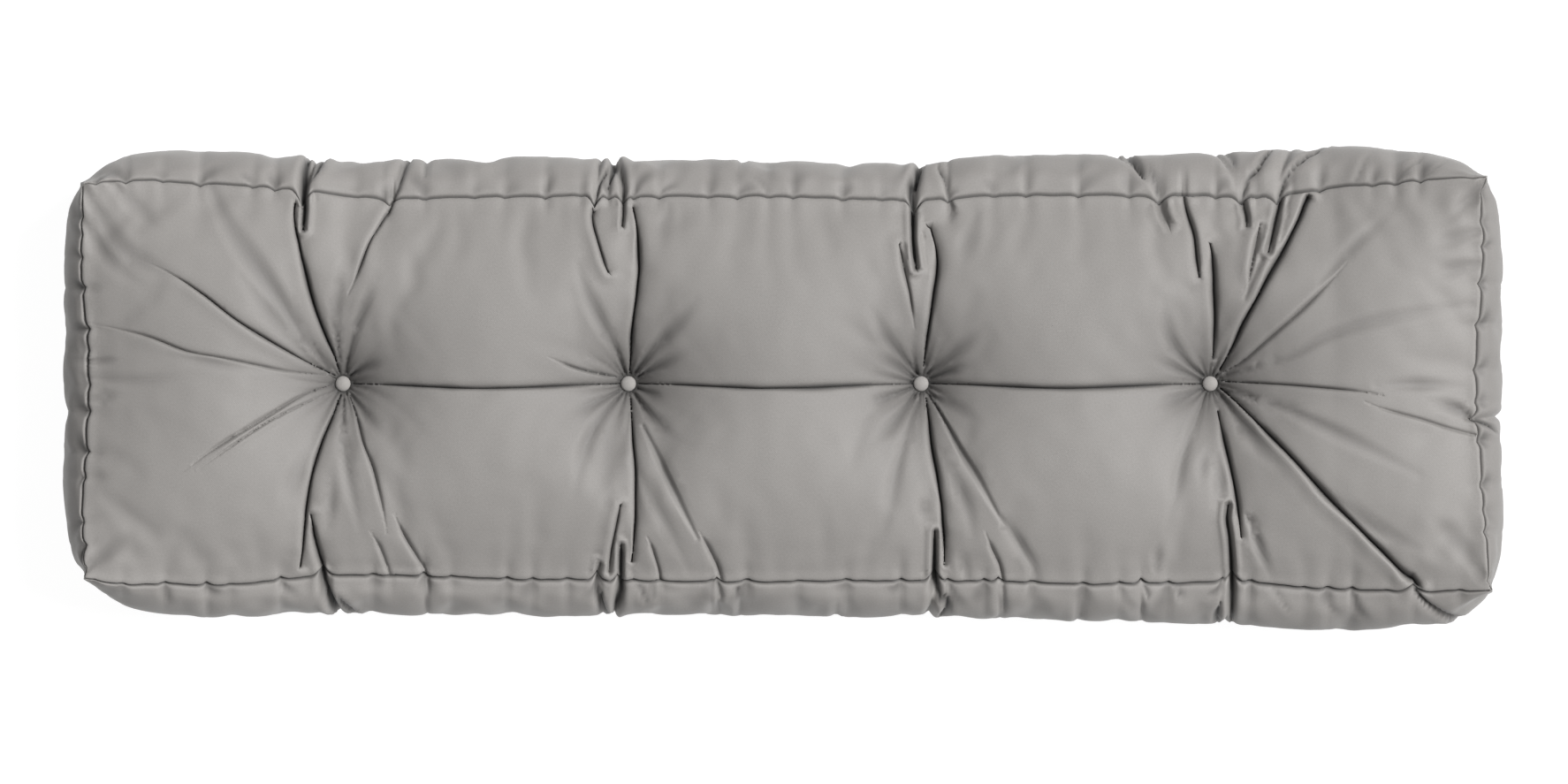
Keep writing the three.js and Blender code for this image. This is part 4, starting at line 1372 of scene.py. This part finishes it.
# The simulation
DRAFT_VOXEL = 6.0  # size of the simulated copy's faces, mm
DRAFT_BLEND = 11.0  # a point of the pad follows the copy's points within this distance, mm
DRAFT_FRAMES = 20
DRAFT_PRESSURE = 4.0
DRAFT_SLACK = 0.03  # how much wider the strip is cut than the shape it fills
FACE_SLACK = 0.012
FACE_FROM = 12.0  # the face's slack is whole at this distance from the seams, mm
MOST_MOVE = 6.0  # cap on how far a point may move, mm


class Hold(NamedTuple):
    """Where the cover is held while it fills, mm: wholly up to the first measure, less over the second."""

    firm: float
    easing: float


HELD_BY_SEAM = Hold(5.0, 8)
HELD_BY_TIE = Hold(14.0, 6)
HELD_UNDER = Hold(34.0, 20)


def held(measure, hold):
    """How firmly the cover is held, 0 to 1."""
    return 1 - ease((measure - hold.firm) / hold.easing)


def tree_of(points):
    """A search tree over points."""
    tree = KDTree(len(points))
    for n, place in enumerate(points.tolist()):
        tree.insert(place, n)
    tree.balance()
    return tree


def held_share(points, loop_points):
    """How firmly points of the copy are held: 1 by the seams, the ties and the rest, 0 in the open."""
    seam = tree_of(loop_points)
    from_seam = np.array([seam.find(place)[2] for place in points.tolist()])
    from_tie = np.min([np.hypot(points[:, 0] - b.x, points[:, 1] - b.y) for b in BUTTONS], axis=0)
    holds = [held(from_seam, HELD_BY_SEAM), held(from_tie, HELD_BY_TIE), held(points[:, 2], HELD_UNDER)]
    return np.max(holds, axis=0)


def draft_copy(vertices, faces):
    """A coarse, even copy of the pad, to simulate."""
    draft = new_object("draft", vertices, faces)
    even = draft.modifiers.new("even", "REMESH")
    even.mode = "VOXEL"
    even.voxel_size = DRAFT_VOXEL * MM
    graph = bpy.context.evaluated_depsgraph_get()
    draft.data = bpy.data.meshes.new_from_object(draft.evaluated_get(graph))
    draft.modifiers.clear()
    return draft


def share_group(obj, name, shares):
    """Give an object's vertices their shares in a new vertex group."""
    group = obj.vertex_groups.new(name=name)
    for n, share in enumerate(shares):
        group.add([n], float(share), "REPLACE")


def filled(draft):
    """Where the copy's points are once the filling has pressed its cover out, mm."""
    cloth = draft.modifiers.new("filling", "CLOTH")
    cloth.settings.vertex_group_mass = "held"
    cloth.settings.use_pressure = True
    cloth.settings.uniform_pressure_force = DRAFT_PRESSURE
    cloth.settings.effector_weights.gravity = 0
    cloth.settings.shrink_min = -DRAFT_SLACK
    cloth.settings.shrink_max = -FACE_SLACK
    cloth.settings.vertex_group_shrink = "face"
    cloth.point_cache.frame_start = 1
    cloth.point_cache.frame_end = DRAFT_FRAMES
    for frame_number in range(1, DRAFT_FRAMES + 1):
        bpy.context.scene.frame_set(frame_number)
    graph = bpy.context.evaluated_depsgraph_get()
    return vertex_places(draft.evaluated_get(graph).data)


def pressed_out(plan, faces):
    """How far each vertex moves, mm, as the filling presses the cover out, read from the coarse copy."""
    start = pad_points(plan, PLAIN)[0]
    draft = draft_copy(start, faces)
    before = vertex_places(draft.data)
    share_group(draft, "held", held_share(before, start[: len(plan.loop)]))
    inward = np.min(list(seam_distances(before[:, 0], before[:, 1]).values()), axis=0)
    share_group(draft, "face", ease(inward / FACE_FROM) * (before[:, 2] > MID_HEIGHT))
    moved = filled(draft) - before
    bpy.data.meshes.remove(draft.data)
    length = np.linalg.norm(moved, axis=1, keepdims=True) + 1e-9
    moved *= MOST_MOVE * np.tanh(length / MOST_MOVE) / length
    places = tree_of(before)
    spread = np.zeros_like(start)
    for n, point in enumerate(start.tolist()):
        _, index, gap = zip(*places.find_range(point, DRAFT_BLEND))
        weight = (1 - (np.array(gap) / DRAFT_BLEND) ** 2) ** 2
        spread[n] = weight @ moved[list(index)] / weight.sum()
    return spread


def vertex_places(mesh):
    """A mesh's vertex places, mm."""
    places = np.zeros(len(mesh.vertices) * 3)
    mesh.vertices.foreach_get("co", places)
    return places.reshape(-1, 3) / MM


def new_object(name, vertices, faces, offset=(0.0, 0.0, 0.0)):
    """A smooth-shaded mesh object from points in mm."""
    mesh = bpy.data.meshes.new(name)
    mesh.from_pydata(((np.asarray(vertices) * MM) + np.asarray(offset)).tolist(), [], faces)
    mesh.validate()
    mesh.update()
    mesh.shade_smooth()
    obj = bpy.data.objects.new(name, mesh)
    bpy.context.scene.collection.objects.link(obj)
    return obj


def table_offset():
    """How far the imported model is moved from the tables' own origin, metres."""
    low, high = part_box(BUTTONS[0].node)
    return (
        (low[0] + high[0]) / 2 - BUTTONS[0].x * MM,
        (low[1] + high[1]) / 2 - BUTTONS[0].y * MM,
        0.0,
    )


def link(tree, source, socket, target, entry):
    """Join one node's output to another's input."""
    tree.links.new(source.outputs[socket], target.inputs[entry])


def maths(tree, operation, constant=None):
    """A maths node, with its second value where that is constant."""
    node = tree.nodes.new("ShaderNodeMath")
    node.operation = operation
    if constant is not None:
        node.inputs[1].default_value = constant
    return node


def speckle(tree, scale, detail):
    """A noise texture node."""
    node = tree.nodes.new("ShaderNodeTexNoise")
    node.inputs["Scale"].default_value = scale
    node.inputs["Detail"].default_value = detail
    return node


# The cloth
SHEEN_ROUGHNESS = 0.5
CLOTH_SPECULAR = 0.45
PATCH_SCALE = 9.0  # broad patches of tone
SLUB_SCALE = 620.0  # uneven threads
PATCH_SHARE = 0.45  # the patches' part of the tone beside the threads'
TONE_FROM = 0.4  # the noise's value from which the tone rises
TONE_LEAST = 0.93
TONE_MOST = 1.07
WEAVE_SHARE = 0.5  # the weave's part of the relief beside the uneven threads'
MIX_SHARE, MIX_FIRST, MIX_SECOND = 0, 6, 7  # a mix node's inputs for colours
MIX_RESULT = 2


def painted_shading(tree, cloth, painted_shade_tone):
    """The cloth's colour with painted shade: darker where the mesh's painted shade attribute says that a
    fold, a seam or a tuft shades it.
    """
    shade = tree.nodes.new("ShaderNodeMix")
    shade.data_type = "RGBA"
    shade.blend_type = "MULTIPLY"
    shade.inputs[MIX_SECOND].default_value = (painted_shade_tone, painted_shade_tone, painted_shade_tone, 1)
    depth = tree.nodes.new("ShaderNodeAttribute")
    depth.attribute_name = "painted_shade"
    link(tree, depth, "Fac", shade, MIX_SHARE)
    link(tree, cloth, "Color", shade, MIX_FIRST)
    return shade


def cloth_material(name, settings, mapped):
    """A matt plain weave: two crossed sets of threads, a little uneven in tone, with a soft sheen. Mapped
    cloth follows the cushion's panels and has painted shade in its folds, seams and tufts."""
    material = bpy.data.materials.new(name)
    material.use_nodes = True
    tree = material.node_tree
    shader = tree.nodes["Principled BSDF"]
    shader.inputs["Roughness"].default_value = settings.roughness
    shader.inputs["Sheen Weight"].default_value = settings.sheen
    shader.inputs["Sheen Roughness"].default_value = SHEEN_ROUGHNESS
    shader.inputs["Specular IOR Level"].default_value = CLOTH_SPECULAR

    where = tree.nodes.new("ShaderNodeUVMap" if mapped else "ShaderNodeTexCoord")
    place = "UV" if mapped else "Object"
    split = tree.nodes.new("ShaderNodeSeparateXYZ")
    link(tree, where, place, split, "Vector")
    weave = maths(tree, "MULTIPLY")
    for entry, axis in enumerate(("X", "Y")):
        turn = maths(tree, "MULTIPLY", math.pi / settings.thread_pitch)
        thread = maths(tree, "SINE")
        link(tree, split, axis, turn, 0)
        link(tree, turn, "Value", thread, 0)
        link(tree, thread, "Value", weave, entry)

    patches = speckle(tree, PATCH_SCALE, 3.0)
    slub = speckle(tree, SLUB_SCALE, 2.0)
    tone = maths(tree, "MULTIPLY_ADD", PATCH_SHARE)
    ramp = tree.nodes.new("ShaderNodeValToRGB")
    colour = np.array(settings.colour)
    ramp.color_ramp.elements[0].position = TONE_FROM
    ramp.color_ramp.elements[0].color = (*(colour * TONE_LEAST), 1.0)
    ramp.color_ramp.elements[1].color = (*(colour * TONE_MOST), 1.0)
    link(tree, where, place, patches, "Vector")
    link(tree, where, place, slub, "Vector")
    link(tree, patches, "Fac", tone, 0)
    link(tree, slub, "Fac", tone, 2)
    link(tree, tone, "Value", ramp, "Fac")
    if mapped:
        link(tree, painted_shading(tree, ramp, settings.painted_shade_tone), MIX_RESULT, shader, "Base Color")
    else:
        link(tree, ramp, "Color", shader, "Base Color")

    height = maths(tree, "MULTIPLY_ADD", WEAVE_SHARE)
    bump = tree.nodes.new("ShaderNodeBump")
    bump.inputs["Strength"].default_value = settings.weave_strength
    bump.inputs["Distance"].default_value = settings.thread_height
    link(tree, weave, "Value", height, 0)
    link(tree, slub, "Fac", height, 2)
    link(tree, height, "Value", bump, "Height")
    link(tree, bump, "Normal", shader, "Normal")
    return material


class CushionSettings(bpy.types.PropertyGroup):
    """Sizes and looks of the pad."""

    fold_depth: bpy.props.FloatProperty(
        name="Fold depth", description="Depth of every fold, as a share of its own",
        default=1.0, min=0, max=1.5,
    )
    seam_depth: bpy.props.FloatProperty(
        name="Seam depth", description="How far a seam is sewn down, in millimetres",
        default=4.0, min=0, max=8,
    )
    seam_width: bpy.props.FloatProperty(
        name="Seam width", description="Half width of the line sewn down, in millimetres",
        default=0.95, min=0.5, max=6,
    )
    fill: bpy.props.FloatProperty(
        name="Fill", description="How full the pad is", default=0.8, min=0, max=1, subtype="FACTOR"
    )
    colour: bpy.props.FloatVectorProperty(
        name="Cover colour", description="Colour of the cover cloth",
        default=(0.255, 0.243, 0.232), subtype="COLOR",
    )
    roughness: bpy.props.FloatProperty(
        name="Roughness", description="Roughness of the cloth", default=0.62, min=0, max=1, subtype="FACTOR"
    )
    sheen: bpy.props.FloatProperty(
        name="Sheen", description="Soft shine of the cloth at a low angle",
        default=0.15, min=0, max=1, subtype="FACTOR",
    )
    # Strength of the painted shade in folds, seams and tufts: the cloth's tone where that shade is whole.
    painted_shade_tone: bpy.props.FloatProperty(
        name="Fold tone", description="Tone deep in a fold, as a share of the cloth's own",
        default=0.1, min=0, max=1,
    )
    thread_pitch: bpy.props.FloatProperty(
        name="Thread pitch", description="Spacing of the threads",
        default=0.0009, unit="LENGTH", precision=5,
    )
    thread_height: bpy.props.FloatProperty(
        name="Thread height", description="Relief of the threads",
        default=0.00012, unit="LENGTH", precision=5,
    )
    weave_strength: bpy.props.FloatProperty(
        name="Weave strength", description="Strength of the weave's relief",
        default=0.35, min=0, max=1, subtype="FACTOR",
    )


class ButtonSettings(bpy.types.PropertyGroup):
    """Looks of the covered buttons."""

    colour: bpy.props.FloatVectorProperty(
        name="Button colour", description="Colour of the button cloth",
        default=(0.29, 0.277, 0.265), subtype="COLOR",
    )
    roughness: bpy.props.FloatProperty(
        name="Roughness", description="Roughness of the cloth", default=0.75, min=0, max=1, subtype="FACTOR"
    )
    sheen: bpy.props.FloatProperty(
        name="Sheen", description="Soft shine of the cloth at a low angle",
        default=0.15, min=0, max=1, subtype="FACTOR",
    )
    thread_pitch: bpy.props.FloatProperty(
        name="Thread pitch", description="Spacing of the threads",
        default=0.0009, unit="LENGTH", precision=5,
    )
    thread_height: bpy.props.FloatProperty(
        name="Thread height", description="Relief of the threads",
        default=0.00012, unit="LENGTH", precision=5,
    )
    weave_strength: bpy.props.FloatProperty(
        name="Weave strength", description="Strength of the weave's relief",
        default=0.35, min=0, max=1, subtype="FACTOR",
    )


class StageSettings(bpy.types.PropertyGroup):
    """Floor, lights and camera."""

    floor_colour: bpy.props.FloatVectorProperty(
        name="Floor colour", description="Colour of the floor", default=(0.12, 0.12, 0.12), subtype="COLOR"
    )
    floor_glow: bpy.props.FloatProperty(
        name="Floor glow", description="Light the floor gives off, as a lit table does",
        default=0.95, min=0, max=2,
    )
    key_strength: bpy.props.FloatProperty(
        name="Key light", description="Strength of the key light", default=4.0, min=0, max=20
    )
    key_angle: bpy.props.FloatProperty(
        name="Key size", description="How wide the key light looks from the cushion",
        default=0.5, min=0, max=1.5,
        subtype="ANGLE",
    )
    fill_strength: bpy.props.FloatProperty(
        name="Fill light", description="Brightness of the surroundings straight overhead",
        default=0.95, min=0, max=4,
    )
    fill_focus: bpy.props.FloatProperty(
        name="Fill focus", description="How fast the surroundings darken away from overhead",
        default=3.8, min=0, max=20,
    )
    lens: bpy.props.FloatProperty(
        name="Lens", description="Focal length of the camera, in millimetres",
        default=300.0, min=20, max=1000,
    )
    distance: bpy.props.FloatProperty(
        name="Distance", description="Height of the camera over the floor", default=10.98, unit="LENGTH"
    )


class CUSHION_OT_pad(bpy.types.Operator):
    """Build the filled pad with its folds, seams and gathers"""

    bl_idname = "cushion.pad"
    bl_label = "Pad"

    def execute(self, context):
        settings = context.scene.cushion
        plan = pad_plan()
        faces, cloth = pad_faces(plan)
        relief = Relief(settings.fold_depth, settings.seam_depth, settings.seam_width)
        vertices, painted_shade = pad_points(plan, relief)
        vertices = vertices + pressed_out(plan, faces)
        pad = new_object("pad", vertices, faces, table_offset())
        if len(pad.data.polygons) != len(faces):
            raise RuntimeError("the pad's mesh lost faces")
        # The painted shade is kept on the points, for the cloth material to darken its colour with.
        depth = pad.data.attributes.new("painted_shade", "FLOAT", "POINT")
        depth.data.foreach_set("value", painted_shade)
        uv = pad.data.uv_layers.new(name="cloth")
        uv.data.foreach_set("uv", (cloth * MM).ravel())
        pad.data.materials.append(cloth_material("cover_cloth", settings, mapped=True))
        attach(pad, "root")
        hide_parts("cushion_pad")
        return {"FINISHED"}


class RimPoint(NamedTuple):
    """A point of a button's edge, as shares of its radius and its height."""

    out: float
    up: float


BUTTON_RIM = [RimPoint(0.86, 0.0), RimPoint(0.97, 0.12), RimPoint(1.0, 0.28)]
BUTTON_SIDES = 40
BUTTON_STEPS = 12  # up the dome


def button_shape(radius, height):
    """Points and faces of a low dome with a rounded edge."""
    profile = [(radius * point.out, height * point.up) for point in BUTTON_RIM]
    shoulder = BUTTON_RIM[-1].up
    for k in range(1, BUTTON_STEPS):
        angle = k / BUTTON_STEPS * math.pi / 2
        profile.append((radius * math.cos(angle), height * (shoulder + (1 - shoulder) * math.sin(angle))))
    vertices = [(0.0, 0.0, 0.0), (0.0, 0.0, height)]
    for r, z in profile:
        for k in range(BUTTON_SIDES):
            turn = 2 * math.pi * k / BUTTON_SIDES
            vertices.append((r * math.cos(turn), r * math.sin(turn), z))
    faces = []
    top = 2 + (len(profile) - 1) * BUTTON_SIDES
    for k in range(BUTTON_SIDES):
        after = (k + 1) % BUTTON_SIDES
        faces.append((0, 2 + after, 2 + k))
        faces.append((1, top + k, top + after))
        for base in range(2, top, BUTTON_SIDES):
            faces.append((base + k, base + after, base + BUTTON_SIDES + after, base + BUTTON_SIDES + k))
    return vertices, faces


class CUSHION_OT_buttons(bpy.types.Operator):
    """Cover the buttons that hold the tufts down"""

    bl_idname = "cushion.buttons"
    bl_label = "Buttons"

    def execute(self, context):
        material = cloth_material("button_cloth", context.scene.cushion_buttons, mapped=False)
        for n, b in enumerate(BUTTONS):
            low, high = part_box(b.node)
            radius = (high[0] - low[0]) / 2 / MM
            height = (high[2] - low[2]) / MM
            centre = ((low[0] + high[0]) / 2, (low[1] + high[1]) / 2, low[2])
            button = new_object(f"covered_button_{n + 1}", *button_shape(radius, height), centre)
            button.data.materials.append(material)
            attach(button, "root")
            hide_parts(b.node)
        return {"FINISHED"}


# The stage
KEY_SIDE = (0.78, 0.25, 1.0)  # the direction that the key light comes from
FLOOR_HALF = 6000.0  # mm
FLOOR_DROP = 0.3  # how far the floor lies under the cushion, mm
FLOOR_ROUGHNESS = 0.9
FLOOR_SPECULAR = 0.1
CAMERA_RIGHT = 0.74  # where the camera stands over the cushion, mm
CAMERA_BACK = -2.96
SENSOR_WIDTH = 36
VIEW_END = 100


def pale_floor(settings):
    """A wide level floor that glows a little."""
    half = FLOOR_HALF
    corners = [(-half, -half, 0), (half, -half, 0), (half, half, 0), (-half, half, 0)]
    floor = new_object("floor", corners, [(0, 1, 2, 3)], (0, 0, -FLOOR_DROP * MM))
    pale = bpy.data.materials.new("pale_floor")
    pale.use_nodes = True
    shader = pale.node_tree.nodes["Principled BSDF"]
    shader.inputs["Base Color"].default_value = (*settings.floor_colour, 1)
    shader.inputs["Roughness"].default_value = FLOOR_ROUGHNESS
    shader.inputs["Specular IOR Level"].default_value = FLOOR_SPECULAR
    shader.inputs["Emission Color"].default_value = (1, 1, 1, 1)
    shader.inputs["Emission Strength"].default_value = settings.floor_glow
    floor.data.materials.append(pale)
    return floor


def studio(settings):
    """Surroundings that are brightest straight overhead and dark at the horizon."""
    world = bpy.data.worlds.new("studio")
    world.use_nodes = True
    tree = world.node_tree
    background = tree.nodes["Background"]
    background.inputs["Color"].default_value = (1, 1, 1, 1)
    direction = tree.nodes.new("ShaderNodeTexCoord")
    split = tree.nodes.new("ShaderNodeSeparateXYZ")
    above = maths(tree, "MAXIMUM", 0.0)
    falloff = maths(tree, "POWER", settings.fill_focus)
    brightness = maths(tree, "MULTIPLY", settings.fill_strength)
    link(tree, direction, "Generated", split, "Vector")
    link(tree, split, "Z", above, 0)
    link(tree, above, 0, falloff, 0)
    link(tree, falloff, 0, brightness, 0)
    link(tree, brightness, 0, background, "Strength")
    return world


def key_light(settings):
    """One wide, soft light from the side."""
    key = bpy.data.lights.new("key", "SUN")
    key.energy = settings.key_strength
    key.angle = settings.key_angle
    lamp = bpy.data.objects.new("key", key)
    lamp.rotation_euler = (-Vector(KEY_SIDE)).to_track_quat("-Z", "Y").to_euler()
    return lamp


def camera_above(settings):
    """A camera that looks straight down on the cushion."""
    lens = bpy.data.cameras.new("camera")
    lens.lens = settings.lens
    lens.sensor_width = SENSOR_WIDTH
    lens.clip_end = VIEW_END
    camera = bpy.data.objects.new("camera", lens)
    offset = table_offset()
    camera.location = (offset[0] + CAMERA_RIGHT * MM, offset[1] + CAMERA_BACK * MM, settings.distance)
    return camera


class CUSHION_OT_stage(bpy.types.Operator):
    """Set the floor, the lights and the camera"""

    bl_idname = "cushion.stage"
    bl_label = "Stage"

    def execute(self, context):
        scene = context.scene
        settings = scene.cushion_stage
        pale_floor(settings)
        scene.world = studio(settings)
        scene.collection.objects.link(key_light(settings))
        camera = camera_above(settings)
        scene.collection.objects.link(camera)
        scene.camera = camera
        scene.view_settings.view_transform = "Standard"
        return {"FINISHED"}


class CUSHION_PT_panel(bpy.types.Panel):
    """Lists the cushion's pieces"""

    bl_idname = "CUSHION_PT_panel"
    bl_label = "Bench cushion"
    bl_space_type = "VIEW_3D"
    bl_region_type = "UI"
    bl_category = "Cushion"

    def draw(self, context):
        layout = self.layout
        for operator in OPERATORS:
            layout.operator(operator.bl_idname)
        for group in (context.scene.cushion, context.scene.cushion_buttons, context.scene.cushion_stage):
            box = layout.box()
            for name in group.__annotations__:
                box.prop(group, name)


OPERATORS = (CUSHION_OT_pad, CUSHION_OT_buttons, CUSHION_OT_stage)
CLASSES = (CushionSettings, ButtonSettings, StageSettings, *OPERATORS, CUSHION_PT_panel)


def register():
    """Register the classes and their settings."""
    for cls in CLASSES:
        bpy.utils.register_class(cls)
    bpy.types.Scene.cushion = bpy.props.PointerProperty(type=CushionSettings)
    bpy.types.Scene.cushion_buttons = bpy.props.PointerProperty(type=ButtonSettings)
    bpy.types.Scene.cushion_stage = bpy.props.PointerProperty(type=StageSettings)


def unregister():
    """Undo what register does."""
    del bpy.types.Scene.cushion_stage
    del bpy.types.Scene.cushion_buttons
    del bpy.types.Scene.cushion
    for cls in reversed(CLASSES):
        bpy.utils.unregister_class(cls)


def main():
    """Build the cushion and its stage."""
    register()
    bpy.ops.cushion.pad()
    bpy.ops.cushion.buttons()
    bpy.ops.cushion.stage()


if __name__ == "__main__":
    main()
